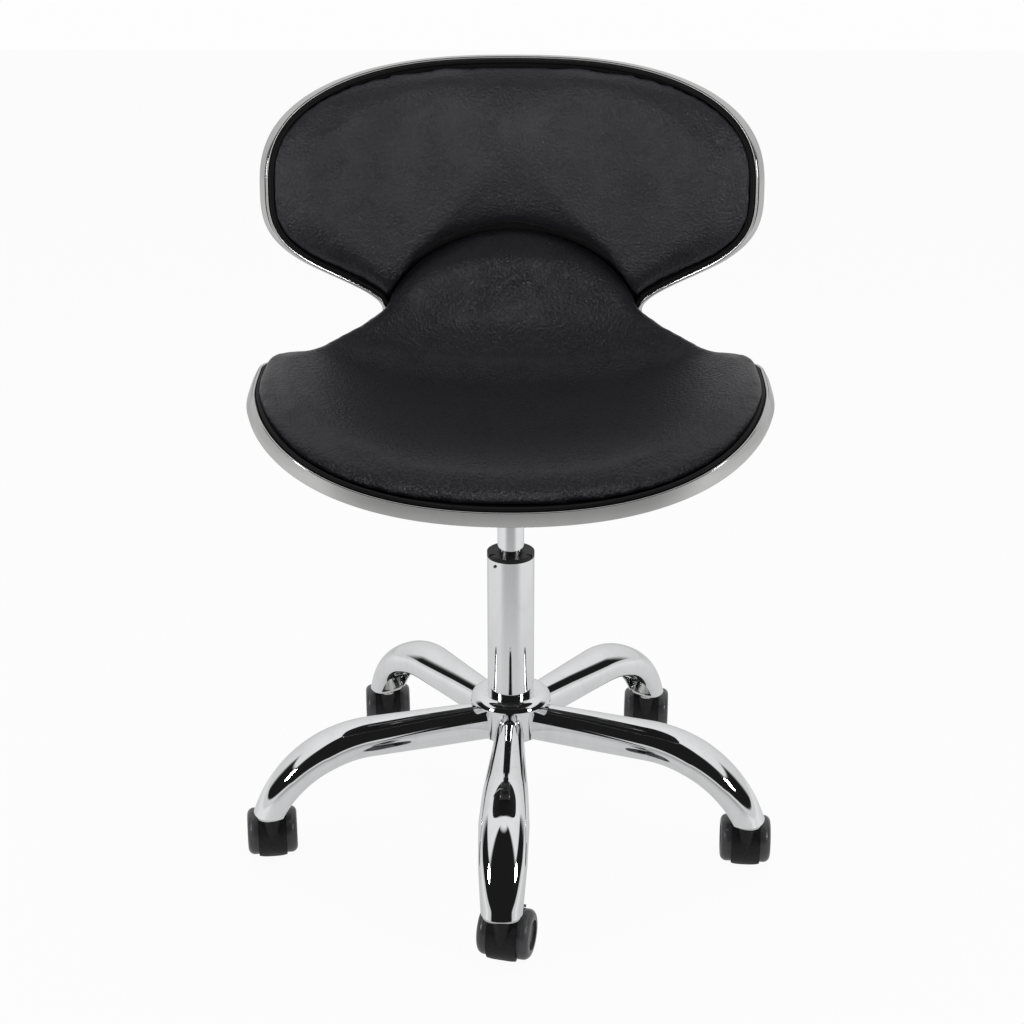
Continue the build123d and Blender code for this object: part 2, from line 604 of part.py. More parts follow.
def piston_rod():
    """Rod with its shoulder, piston and clip groove; it turns in the tube's floor."""
    rod = vertical_rod(ROD_RADIUS, TUBE_BOTTOM - ROD_END_BELOW, PISTON_BOTTOM)
    low = BEARING_TOP + RUNNING_CLEARANCE
    rod += vertical_rod(ROD_RADIUS + ROD_SHOULDER_WIDTH, low, low + ROD_SHOULDER_HEIGHT)
    piston_radius = LIFT_RADIUS - LIFT_WALL - RUNNING_CLEARANCE
    rod += vertical_rod(piston_radius, PISTON_BOTTOM, PISTON_BOTTOM + PISTON_HEIGHT)
    clip_low, clip_high = clip_levels()
    groove_low, groove_high = clip_low - SEATED_CLEARANCE, clip_high + SEATED_CLEARANCE
    groove = (vertical_rod(ROD_RADIUS + CLIP_GROOVE, groove_low, groove_high)
              - vertical_rod(ROD_RADIUS - CLIP_GROOVE, groove_low, groove_high))
    return rod - groove


def bottom_clip():
    """Open ring in the groove under the tube's floor."""
    low, high = clip_levels()
    clip_radius = ROD_RADIUS + CLIP_WIDTH
    ring = (vertical_rod(clip_radius, low, high)
            - vertical_rod(ROD_RADIUS - CLIP_GROOVE + SEATED_CLEARANCE, low, high))
    mouth = Pos(0, clip_radius, (low + high) / 2) * Box(ROD_RADIUS, 2 * clip_radius, high - low)
    return ring - mouth


def gas_cylinder():
    """Pressure tube of the lift, tapered at its top."""
    body = vertical_rod(LIFT_RADIUS, LIFT_BOTTOM, LIFT_CONE_BOTTOM)
    body += Pos(0, 0, (LIFT_CONE_BOTTOM + LIFT_TOP) / 2) * Cone(
        LIFT_RADIUS, LIFT_TOP_RADIUS, LIFT_TOP - LIFT_CONE_BOTTOM)
    body -= vertical_rod(LIFT_RADIUS - LIFT_WALL, LIFT_BOTTOM + LIFT_FLOOR, LIFT_TOP - LIFT_HEAD)
    body -= vertical_rod(ROD_RADIUS + RUNNING_CLEARANCE, LIFT_BOTTOM, LIFT_BOTTOM + LIFT_FLOOR)
    return body - vertical_rod(PIN_RADIUS + RUNNING_CLEARANCE, LIFT_TOP - LIFT_HEAD, LIFT_TOP)


def release_pin():
    """Valve pin that the lever pushes down."""
    pin = vertical_rod(PIN_RADIUS, LIFT_TOP - LIFT_HEAD, LIFT_TOP + PIN_ABOVE)
    return fillet(pin.edges().sort_by(Axis.Z)[-1], PIN_DOME)


def base_hub():
    """Ring that the tube and the arms are joined to."""
    hub = vertical_rod(HUB_RADIUS, HUB_BOTTOM, HUB_TOP) - vertical_rod(
        TUBE_RADIUS + SEATED_CLEARANCE, HUB_BOTTOM, HUB_TOP)
    return chamfer(hub.edges().group_by(Axis.Z)[0].filter_by(GeomType.CIRCLE), HUB_CHAMFER)


def hub_collar():
    """Domed ring over the hub and the inner ends of the arms."""
    inner = TUBE_RADIUS + SEATED_CLEARANCE
    low = HUB_TOP + SKIN_GAP
    top = low + COLLAR_HEIGHT
    outwards, upwards = COLLAR_SHOULDER
    shoulder = (COLLAR_TOP_RADIUS + (COLLAR_RADIUS - COLLAR_TOP_RADIUS) * outwards,
                low + COLLAR_HEIGHT * upwards)
    profile = [Line((inner, low), (COLLAR_RADIUS, low)),
               Line((COLLAR_RADIUS, low), (COLLAR_RADIUS, low + COLLAR_EDGE)),
               ThreePointArc((COLLAR_RADIUS, low + COLLAR_EDGE), shoulder, (COLLAR_TOP_RADIUS, top)),
               Line((COLLAR_TOP_RADIUS, top), (inner, top)),
               Line((inner, top), (inner, low))]
    return revolve(Plane.XZ * make_face([edge.edge() for edge in profile]), Axis.Z)


def arm_frame(run):
    """Plane across an arm that points along +X, at a distance along its centre line from the hub."""
    level = ARM_BEND_START - HUB_RADIUS
    if run <= level:
        return Plane(origin=(HUB_RADIUS + run, 0, ARM_HEIGHT), x_dir=(0, 1, 0), z_dir=(1, 0, 0))
    turn = min((run - level) / ARM_BEND_RADIUS, radians(ARM_BEND_ANGLE))
    extra = run - level - turn * ARM_BEND_RADIUS
    x = ARM_BEND_START + ARM_BEND_RADIUS * sin(turn) + extra * cos(turn)
    z = ARM_HEIGHT - ARM_BEND_RADIUS * (1 - cos(turn)) - extra * sin(turn)
    return Plane(origin=(x, 0, z), x_dir=(0, 1, 0), z_dir=(cos(turn), 0, -sin(turn)))


def arm_tube(inset, first_run):
    """Tapering rounded box along an arm; inset shrinks every section."""
    wires = []
    for share, width, height in ARM_SECTIONS:
        shape = RectangleRounded(width - 2 * inset, height - 2 * inset, height * ARM_CORNER - inset)
        wires.append((arm_frame(ARM_RUN * share if share else first_run) * shape).wire())
    return Solid.make_loft(wires)


def base_arm():
    """One arm along +X: closed on top, open at its tip and under its bend."""
    arm = arm_tube(0.0, -ARM_BURIED) - arm_tube(ARM_WALL, -ARM_BURIED - ARM_WALL)
    arm -= vertical_rod(HUB_RADIUS + SEATED_CLEARANCE, 0, 2 * ARM_HEIGHT)
    arm -= vertical_rod(COLLAR_RADIUS + SEATED_CLEARANCE, HUB_TOP, 2 * ARM_HEIGHT)
    reach = 2 * STEM_CIRCLE
    arm -= Pos(0, 0, ARM_TIP_CUT - reach / 2) * Box(2 * reach, reach, reach)
    arch = Plane(origin=(WINDOW_INNER, 0, 0), x_dir=(0, 1, 0), z_dir=(1, 0, 0)) * (
        Pos(0, WINDOW_TOP / 2) * RectangleRounded(WINDOW_WIDTH, WINDOW_TOP, WINDOW_WIDTH * WINDOW_CORNER))
    return arm - extrude(arch, WINDOW_LENGTH)


def stem_socket():
    """Bell with a flange that closes an arm's tip, on +X."""
    depth, width, thickness = SOCKET_FLANGE
    top = ARM_TIP_CUT - SOCKET_FLANGE_GAP
    flange = extrude(Pos(STEM_CIRCLE + SOCKET_FLANGE_SHIFT, 0, top - thickness)
                     * RectangleRounded(depth, width, SOCKET_FLANGE_CORNER), thickness)
    bell = Pos(STEM_CIRCLE, 0, top + BELL_HEIGHT / 2) * Cone(BELL_BOTTOM_RADIUS, BELL_TOP_RADIUS, BELL_HEIGHT)
    return flange + bell - vertical_rod(STEM_RADIUS + SEATED_CLEARANCE, top - thickness, top + BELL_HEIGHT,
                                        STEM_CIRCLE)


def caster_stem():
    """Stem along +Z at the origin: a domed top in the socket and a thinner pintle in the hood."""
    collar_low = HOOD_BOSS_TOP + RUNNING_CLEARANCE
    stem = vertical_rod(STEM_RADIUS, collar_low, STEM_TOP)
    stem = fillet(stem.edges().sort_by(Axis.Z)[-1], STEM_RADIUS * STEM_DOME)
    stem += vertical_rod(STEM_COLLAR_RADIUS, collar_low, collar_low + STEM_COLLAR_HEIGHT)
    return stem + vertical_rod(PINTLE_RADIUS, HOOD_BOSS_TOP - PINTLE_DEPTH, collar_low)


def across(radius, start, end):
    """Cylinder along X on the caster's axle line."""
    return Pos((start + end) / 2, CASTER_TRAIL, WHEEL_RADIUS) * Rot(0, 90, 0) * Cylinder(radius, end - start)


def hood_sector(radius, half_width):
    """Slice of a cylinder about the axle, as wide as the hood's sweep."""
    face = Plane(origin=(-half_width, CASTER_TRAIL, WHEEL_RADIUS), x_dir=(0, 1, 0), z_dir=(1, 0, 0))
    middle = radians((HOOD_FROM + HOOD_TO) / 2)
    first, last = radians(HOOD_FROM), radians(HOOD_TO)
    on_arc = [(radius * cos(angle), radius * sin(angle)) for angle in (first, middle, last)]
    edges = [Line((0, 0), on_arc[0]), ThreePointArc(*on_arc), Line(on_arc[2], (0, 0))]
    return extrude(face * make_face([edge.edge() for edge in edges]), 2 * half_width)


def caster_hood():
    """Drum over the wheels with a middle web, a boss for the pintle and a curved skirt."""
    hood = hood_sector(HOOD_OUTER, HOOD_HALF_WIDTH) + across(WEB_HUB_RADIUS, -WEB_HALF_WIDTH, WEB_HALF_WIDTH)
    hood += vertical_rod(HOOD_BOSS_RADIUS, WHEEL_RADIUS, HOOD_BOSS_TOP)
    for side in (-1, 1):
        ends = sorted((side * WEB_HALF_WIDTH, side * 2 * CASTER_HALF_WIDTH))
        hood -= across(HOOD_INNER, *ends)
    skirt_radius = (HOOD_HALF_WIDTH ** 2 + HOOD_SKIRT_RISE ** 2) / (2 * HOOD_SKIRT_RISE)
    skirt_low = WHEEL_RADIUS - HOOD_OUTER * sin(radians(HOOD_TO - 180))
    deep = 6 * WHEEL_RADIUS
    skirt = Pos(0, 0, skirt_low + skirt_radius) * Rot(90, 0, 0) * Cylinder(skirt_radius, deep)
    low_block = Pos(0, 0, skirt_low + HOOD_SKIRT_RISE / 2) * Box(deep, deep, HOOD_SKIRT_RISE)
    hood -= low_block - skirt
    hood -= across(AXLE_RADIUS + SEATED_CLEARANCE, -CASTER_HALF_WIDTH, CASTER_HALF_WIDTH)
    return hood - vertical_rod(PINTLE_RADIUS + RUNNING_CLEARANCE,
                               HOOD_BOSS_TOP - PINTLE_DEPTH - RUNNING_CLEARANCE, HOOD_BOSS_TOP)


def caster_axle():
    """Steel axle pressed through the web."""
    return across(AXLE_RADIUS, -AXLE_HALF_LENGTH, AXLE_HALF_LENGTH)


def caster_wheel(side):
    """One of the twin wheels; side is -1 or 1."""
    inner = WEB_HALF_WIDTH + WEB_WHEEL_GAP
    wheel = across(WHEEL_RADIUS, inner, CASTER_HALF_WIDTH)
    rims = wheel.edges().filter_by(GeomType.CIRCLE).sort_by(Axis.X)
    wheel = fillet(rims[-1], WHEEL_SHOULDER)
    wheel = fillet(wheel.edges().filter_by(GeomType.CIRCLE).sort_by(Axis.X)[0], WHEEL_INNER_EDGE)
    wheel -= across(WHEEL_FACE_RADIUS, CASTER_HALF_WIDTH - WHEEL_FACE_DEPTH, CASTER_HALF_WIDTH)
    wheel -= across(AXLE_RADIUS + RUNNING_CLEARANCE, inner, AXLE_HALF_LENGTH + RUNNING_CLEARANCE)
    return wheel if side > 0 else mirror(wheel, Plane.YZ)


def arm_angle(index):
    """Direction of an arm, degrees from +X."""
    return BASE_TURN + 360 / ARMS * index


def caster_place(index):
    """Turns and moves a caster from the origin to the end of its arm."""
    angle = radians(arm_angle(index))
    return Pos(STEM_CIRCLE * cos(angle), STEM_CIRCLE * sin(angle), 0) * Rot(0, 0, CASTER_YAWS[index])


def build():
    """Every piece of the stool by name."""
    pieces = {
        "base_hub": base_hub(), "hub_collar": hub_collar(), "stand_tube": stand_tube(),
        "guide_bush": guide_bush(), "bush_rivets": bush_rivets(), "thrust_bearing": thrust_bearing(),
        "piston_rod": piston_rod(), "bottom_clip": bottom_clip(), "gas_cylinder": gas_cylinder(),
        "release_pin": release_pin(), "lever_housing": lever_housing(), "mount_plate": mount_plate(),
        "release_lever": release_lever(), "lever_grip": lever_grip(), "lever_pin": lever_pin(),
        "plate_bolts": plate_bolts(), "barrel_nuts": barrel_nuts(), "spacer_block": spacer_block(),
        "seat_shell": seat_shell(), "shell_lining": shell_lining(), "rim_trim": rim_trim(),
        "edge_welt": edge_welt(), "seat_pad": seat_pad(), "back_pad": back_pad(),
    }
    arm, socket, stem = base_arm(), stem_socket(), caster_stem()
    hood, axle = caster_hood(), caster_axle()
    wheels = {"left": caster_wheel(-1), "right": caster_wheel(1)}
    for index in range(ARMS):
        number = index + 1
        place = caster_place(index)
        pieces[f"base_arm_{number}"] = Rot(0, 0, arm_angle(index)) * arm
        pieces[f"stem_socket_{number}"] = Rot(0, 0, arm_angle(index)) * socket
        pieces[f"caster_stem_{number}"] = place * stem
        pieces[f"caster_hood_{number}"] = place * hood
        pieces[f"caster_axle_{number}"] = place * axle
        for side, wheel in wheels.items():
            pieces[f"wheel_{side}_{number}"] = place * wheel
    return pieces


if __name__ == "__main__":
    os.makedirs("parts", exist_ok=True)
    for name, piece in build().items():
        export_step(piece, f"parts/{name}.step")
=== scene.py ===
"""Looks of a rolling salon stool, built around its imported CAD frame: pads, rim, lift, star base and casters."""
import json
import logging
from dataclasses import dataclass, field
from enum import Enum
from math import cos, pi, radians, sin
from typing import Sequence

import bmesh
import bpy
import numpy as np
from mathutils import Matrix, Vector


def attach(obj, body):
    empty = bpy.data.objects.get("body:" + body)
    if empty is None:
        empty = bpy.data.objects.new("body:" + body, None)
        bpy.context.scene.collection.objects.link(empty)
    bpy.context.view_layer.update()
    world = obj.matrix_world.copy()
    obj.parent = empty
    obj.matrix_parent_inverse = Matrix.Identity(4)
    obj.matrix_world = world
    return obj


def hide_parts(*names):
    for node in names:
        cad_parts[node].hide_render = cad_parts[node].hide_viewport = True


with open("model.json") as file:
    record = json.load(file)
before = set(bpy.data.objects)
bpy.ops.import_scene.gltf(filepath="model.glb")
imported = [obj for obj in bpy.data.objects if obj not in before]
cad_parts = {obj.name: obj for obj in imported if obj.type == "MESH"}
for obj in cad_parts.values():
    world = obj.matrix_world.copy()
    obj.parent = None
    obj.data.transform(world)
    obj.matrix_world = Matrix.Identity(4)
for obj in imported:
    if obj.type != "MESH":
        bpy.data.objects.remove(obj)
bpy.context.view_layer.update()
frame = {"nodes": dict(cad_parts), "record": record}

LOG = logging.getLogger("stool")
MM = 0.001
SMOOTH_ANGLE = radians(38)  # faces that meet at less are shaded smooth
MERGE_DISTANCE = 2e-6  # points nearer than this become one, in metres
THIN_DISTANCE = 1e-7  # edges shorter than this are dropped
TONE_RANGE = (0.3, 0.7)  # where a noise value turns from its low to its high end
GRAIN_DEPTH = 0.0007  # relief of pressed grain, in metres
FINE_DEPTH = 0.0002  # relief of fine surface texture, in metres


class Slot(Enum):
    """Material slots of the record that new pieces take their finish from."""

    CHROME = "chrome_steel"
    BAND = "polished_band"
    BRIGHT = "bright_steel"
    COAT = "black_steel"
    PLASTIC = "black_plastic"
    WHEEL = "wheel_plastic"
    LEATHER = "black_leather"
    VINYL = "welt_vinyl"
    PLY = "plywood"
    BLOCK = "spacer_wood"
    ZINC = "zinc_steel"


# ---------------------------------------------------------------- mesh helpers


class Draft:
    """Collects grids of points and turns them into one mesh object."""

    def __init__(self) -> None:
        """Start with no points and no faces."""
        self.points: list[np.ndarray] = []
        self.faces: list[np.ndarray] = []
        self.count = 0

    def grid(self, points: np.ndarray, wrap_rows: bool = False, wrap_cols: bool = False) -> "Draft":
        """Add a grid of quads.

        Args:
            points: rows x columns x 3 array of positions in metres.
            wrap_rows: join the last row to the first.
            wrap_cols: join the last column to the first.

        Returns:
            This draft.
        """
        rows, cols = points.shape[:2]
        index = np.arange(rows * cols).reshape(rows, cols)
        if wrap_rows:
            index = np.vstack([index, index[:1]])
        if wrap_cols:
            index = np.hstack([index, index[:, :1]])
        quads = np.stack([index[:-1, :-1], index[1:, :-1], index[1:, 1:], index[:-1, 1:]], -1).reshape(-1, 4)
        self.points.append(points.reshape(-1, 3))
        self.faces.append(quads + self.count)
        self.count += rows * cols
        return self

    def tube(self, rings: np.ndarray) -> "Draft":
        """Add rings of points joined into a tube whose two ends are closed by a fan to their middles.

        Args:
            rings: rings x points x 3 array; each ring is a closed loop.

        Returns:
            This draft.
        """
        first = np.repeat(rings[:1].mean(1, keepdims=True), rings.shape[1], 1)
        last = np.repeat(rings[-1:].mean(1, keepdims=True), rings.shape[1], 1)
        return self.grid(np.concatenate([first, rings, last]), wrap_cols=True)

    def build(self, name: str, sharp: float = SMOOTH_ANGLE) -> bpy.types.Object:
        """Make the object: merge doubled points, face outwards and shade smooth below an angle.

        Args:
            name: name of the object.
            sharp: faces that meet at more than this angle keep a sharp edge, in radians.

        Returns:
            The linked object, at the origin.
        """
        mesh = bpy.data.meshes.new(name)
        faces = np.concatenate(self.faces)
        mesh.from_pydata(np.concatenate(self.points), [], faces.tolist())
        work = bmesh.new()
        work.from_mesh(mesh)
        bmesh.ops.remove_doubles(work, verts=work.verts, dist=MERGE_DISTANCE)
        bmesh.ops.dissolve_degenerate(work, edges=work.edges, dist=THIN_DISTANCE)
        bmesh.ops.recalc_face_normals(work, faces=work.faces)
        work.to_mesh(mesh)
        work.free()
        mesh.shade_smooth()
        mesh.set_sharp_from_angle(angle=sharp)
        piece = bpy.data.objects.new(name, mesh)
        bpy.context.scene.collection.objects.link(piece)
        return piece


def rounded(corners: Sequence[tuple[float, float, float]], steps: int = 5) -> np.ndarray:
    """Closed outline from corners, each turned by an arc that starts and ends its radius from the corner.

    Args:
        corners: (u, v, radius) in order round the outline.
        steps: points on each rounded corner.

    Returns:
        n x 2 array of points. Each corner is a quadratic blend from one side to the other.
    """
    corners_uv = np.array([(u, v) for u, v, _ in corners], float)
    radii = np.array([r for _, _, r in corners], float)
    before = np.roll(corners_uv, 1, 0) - corners_uv
    after = np.roll(corners_uv, -1, 0) - corners_uv
    reach_before = np.minimum(radii / np.linalg.norm(before, axis=1), 0.5)[:, None]
    reach_after = np.minimum(radii / np.linalg.norm(after, axis=1), 0.5)[:, None]
    enter, leave = corners_uv + before * reach_before, corners_uv + after * reach_after
    share = np.linspace(0, 1, steps)[None, :, None]
    blend = (1 - share) ** 2 * enter[:, None] + 2 * share * (1 - share) * corners_uv[:, None]
    points = (blend + share ** 2 * leave[:, None]).reshape(-1, 2)
    keep = np.linalg.norm(points - np.roll(points, 1, 0), axis=1) > THIN_DISTANCE
    return points[keep]


# ---------------------------------------------------------------- node groups


class Nodes:
    """Short way to add nodes and links to one tree."""

    def __init__(self, tree: bpy.types.NodeTree) -> None:
        """Keep the tree that nodes go into."""
        self.tree = tree

    def add(self, kind: str, settings: dict | None = None, **inputs: object) -> bpy.types.Node:
        """Add a node, set its properties and fill or link its inputs.

        Args:
            kind: node type, such as ShaderNodeTexNoise.
            settings: properties of the node.
            **inputs: input names with underscores for spaces; a socket is linked, anything else is a value.

        Returns:
            The node.
        """
        node = self.tree.nodes.new(kind)
        for key, value in (settings or {}).items():
            setattr(node, key, value)
        for key, value in inputs.items():
            socket = node.inputs[int(key[1:])] if key[0] == "_" else node.inputs[key.replace("_", " ")]
            if isinstance(value, bpy.types.NodeSocket):
                self.tree.links.new(value, socket)
            else:
                socket.default_value = value
        return node

    def math(self, operation: str, first: object, second: object = 0.0) -> bpy.types.NodeSocket:
        """Add a math node and return its result."""
        return self.add("ShaderNodeMath", {"operation": operation}, _0=first, _1=second).outputs[0]

    def ramp(self, value: object, low: float, high: float, to_low: float = 0.0,
             to_high: float = 1.0) -> bpy.types.NodeSocket:
        """Map a value smoothly from one range to another, held at its ends."""
        node = self.add("ShaderNodeMapRange", {"interpolation_type": "SMOOTHSTEP"}, Value=value, From_Min=low,
                        From_Max=high, To_Min=to_low, To_Max=to_high)
        return node.outputs[0]

    def mix(self, share: object, first: object, second: object) -> bpy.types.NodeSocket:
        """Mix two colours."""
        node = self.add("ShaderNodeMix", {"data_type": "RGBA"})
        for socket, value in ((node.inputs[0], share), (node.inputs[6], first), (node.inputs[7], second)):
            if isinstance(value, bpy.types.NodeSocket):
                self.tree.links.new(value, socket)
            else:
                socket.default_value = value
        return node.outputs[2]


def new_group(name: str, inputs: dict[str, float], outputs: Sequence[str]) -> tuple[Nodes, dict, dict]:
    """Make a shader node group with float inputs, a vector input called Place, and float outputs.

    Args:
        name: name of the group.
        inputs: float inputs and their defaults.
        outputs: names of the float outputs.

    Returns:
        The node helper, the group's input sockets by name and the output node's sockets by name.
    """
    tree = bpy.data.node_groups.new(name, "ShaderNodeTree")
    tree.interface.new_socket("Place", in_out="INPUT", socket_type="NodeSocketVector")
    for key, value in inputs.items():
        tree.interface.new_socket(key, in_out="INPUT", socket_type="NodeSocketFloat").default_value = value
    for key in outputs:
        tree.interface.new_socket(key, in_out="OUTPUT", socket_type="NodeSocketFloat")
    nodes = Nodes(tree)
    start, end = nodes.add("NodeGroupInput"), nodes.add("NodeGroupOutput")
    return nodes, {s.name: s for s in start.outputs if s.name}, {s.name: s for s in end.inputs if s.name}


class Effects:
    """Effects that several finishes share, each a node group built once."""

    def __init__(self) -> None:
        """Build every group."""
        self.pebble = self._pebble()
        self.smudge = self._smudge()
        self.worn = self._worn()

    @staticmethod
    def _pebble() -> bpy.types.NodeTree:
        """Pressed hide grain: rounded cells of two sizes, broken up by noise; height and cell tone."""
        nodes, given, out = new_group("Pebble grain", {"Cell size mm": 2.0, "Unevenness": 0.5},
                                      ("Height", "Tone"))
        shift, depth_range = (0.002, 0.002, 0.002), (0.1, 0.45, 1.0, 0.35)
        scale = nodes.math("DIVIDE", 1 / MM, given["Cell size mm"])
        warp = nodes.add("ShaderNodeTexNoise", Vector=given["Place"], Scale=90.0, Detail=2.0)
        moved = nodes.add("ShaderNodeVectorMath", {"operation": "MULTIPLY_ADD"}, _0=warp.outputs["Color"],
                          _1=shift, _2=given["Place"])
        cell = nodes.add("ShaderNodeTexVoronoi", {"feature": "SMOOTH_F1"}, Vector=moved.outputs[0], Scale=scale,
                         Smoothness=0.6)
        fine = nodes.add("ShaderNodeTexVoronoi", {"feature": "DISTANCE_TO_EDGE"}, Vector=moved.outputs[0],
                         Scale=nodes.math("MULTIPLY", scale, 1.7))
        crease = nodes.ramp(fine.outputs["Distance"], 0.0, 0.22)
        dome = nodes.ramp(cell.outputs["Distance"], 0.75, 0.1)
        patch = nodes.add("ShaderNodeTexNoise", Vector=given["Place"], Scale=26.0, Detail=3.0, Roughness=0.6)
        depth = nodes.ramp(nodes.math("MULTIPLY", patch.outputs["Fac"], given["Unevenness"]), *depth_range)
        joined = nodes.math("MULTIPLY", nodes.math("ADD", dome, nodes.math("MULTIPLY", crease, 0.35)), depth)
        nodes.tree.links.new(joined, out["Height"])
        nodes.tree.links.new(patch.outputs["Fac"], out["Tone"])
        return nodes.tree

    @staticmethod
    def _smudge() -> bpy.types.NodeTree:
        """Faint wiping marks on polished metal: long soft streaks and specks that lift the roughness."""
        nodes, given, out = new_group("Wiping marks", {"Amount": 1.0}, ("Mask", "Height"))
        stretched = nodes.add("ShaderNodeMapping", Vector=given["Place"], Scale=(30.0, 30.0, 9.0))
        streak = nodes.add("ShaderNodeTexNoise", Vector=stretched.outputs[0], Scale=1.4, Detail=5.0, Roughness=0.65,
                           Distortion=0.8)
        speck = nodes.add("ShaderNodeTexNoise", Vector=given["Place"], Scale=900.0, Detail=2.0)
        mask = nodes.math("MULTIPLY", nodes.ramp(streak.outputs["Fac"], 0.42, 0.78), given["Amount"])
        nodes.tree.links.new(mask, out["Mask"])
        nodes.tree.links.new(nodes.math("ADD", speck.outputs["Fac"], nodes.math("MULTIPLY", mask, 0.2)), out["Height"])
        return nodes.tree

    @staticmethod
    def _worn() -> bpy.types.NodeTree:
        """Rubbed edges: where the surface is convex, broken up by noise."""
        nodes, given, out = new_group("Rubbed edges", {"Amount": 1.0}, ("Mask",))
        shape = nodes.add("ShaderNodeNewGeometry")
        chips = nodes.add("ShaderNodeTexNoise", Vector=given["Place"], Scale=240.0, Detail=4.0, Roughness=0.7)
        edge = nodes.ramp(shape.outputs["Pointiness"], 0.52, 0.6)
        mask = nodes.math("MULTIPLY", edge, nodes.ramp(chips.outputs["Fac"], 0.45, 0.62))
        nodes.tree.links.new(nodes.math("MULTIPLY", mask, given["Amount"]), out["Mask"])
        return nodes.tree


# ---------------------------------------------------------------- finishes


@dataclass(frozen=True)
class Finish:
    """Common part of every finish: a Principled material on object coordinates."""

    name: str
    colour: tuple[float, float, float]
    roughness: float

    def start(self) -> tuple[bpy.types.Material, Nodes, bpy.types.Node, bpy.types.NodeSocket]:
        """Make the material.

        Returns:
            The material, its node helper, its shader and the object coordinate socket.
        """
        material = bpy.data.materials.new(self.name)
        material.use_nodes = True
        nodes = Nodes(material.node_tree)
        shader = material.node_tree.nodes["Principled BSDF"]
        shader.inputs["Base Color"].default_value = (*self.colour, 1.0)
        shader.inputs["Roughness"].default_value = self.roughness
        place = nodes.add("ShaderNodeTexCoord").outputs["Object"]
        return material, nodes, shader, place

    def tinted(self, nodes: Nodes, share: object, factor: float) -> bpy.types.NodeSocket:
        """Own colour blended towards the same colour times a factor."""
        other = tuple(min(1.0, channel * factor) for channel in self.colour)
        return nodes.mix(share, (*self.colour, 1.0), (*other, 1.0))


@dataclass(frozen=True)
class Hide(Finish):
    """Grained leatherette or smooth vinyl."""

    cell_mm: float = 2.0
    grain: float = 0.25
    sheen: float = 0.05
    gloss: float = 0.45
    sheen_roughness: float = 0.4
    tint: float = 1.25
    spread: float = 0.02

    def material(self, effects: Effects) -> bpy.types.Material:
        """Build the material.

        Args:
            effects: shared node groups.

        Returns:
            The material.
        """
        material, nodes, shader, place = self.start()
        pebble = nodes.add("ShaderNodeGroup", {"node_tree": effects.pebble}, Place=place)
        pebble.inputs["Cell size mm"].default_value = self.cell_mm
        tone, height = pebble.outputs["Tone"], pebble.outputs["Height"]
        colour = self.tinted(nodes, nodes.ramp(tone, *TONE_RANGE), self.tint)
        level = nodes.ramp(tone, *TONE_RANGE, self.roughness - self.spread, self.roughness + self.spread)
        rough = nodes.math("ADD", level, nodes.math("MULTIPLY", height, -2 * self.spread))
        bump = nodes.add("ShaderNodeBump", Strength=self.grain, Distance=GRAIN_DEPTH, Height=height)
        nodes.tree.links.new(colour, shader.inputs["Base Color"])
        nodes.tree.links.new(rough, shader.inputs["Roughness"])
        nodes.tree.links.new(bump.outputs[0], shader.inputs["Normal"])
        shader.inputs["Sheen Weight"].default_value = self.sheen
        shader.inputs["Sheen Roughness"].default_value = self.sheen_roughness
        shader.inputs["Specular IOR Level"].default_value = self.gloss
        return material


@dataclass(frozen=True)
class Metal(Finish):
    """Plated, polished or plain metal."""

    marks: float = 0.1
    waviness: float = 0.01
    brushed: float = 0.0
    tint: float = 0.93
    hair_scale: tuple[float, float, float] = (12.0, 12.0, 1400.0)

    def material(self, effects: Effects) -> bpy.types.Material:
        """Build the material.

        Args:
            effects: shared node groups.

        Returns:
            The material.
        """
        material, nodes, shader, place = self.start()
        shader.inputs["Metallic"].default_value = 1.0
        smudge = nodes.add("ShaderNodeGroup", {"node_tree": effects.smudge}, Place=place)
        mask, height = smudge.outputs["Mask"], smudge.outputs["Height"]
        if self.brushed:
            lines = nodes.add("ShaderNodeMapping", Vector=place, Scale=self.hair_scale)
            hair = nodes.add("ShaderNodeTexNoise", Vector=lines.outputs[0], Scale=1.0, Detail=3.0)
            height = nodes.math("ADD", height, nodes.math("MULTIPLY", hair.outputs["Fac"], self.brushed))
        rough = nodes.math("ADD", nodes.math("MULTIPLY", mask, self.marks), self.roughness)
        bump = nodes.add("ShaderNodeBump", Strength=self.waviness, Distance=FINE_DEPTH, Height=height)
        nodes.tree.links.new(self.tinted(nodes, mask, self.tint), shader.inputs["Base Color"])
        nodes.tree.links.new(rough, shader.inputs["Roughness"])
        nodes.tree.links.new(bump.outputs[0], shader.inputs["Normal"])
        return material


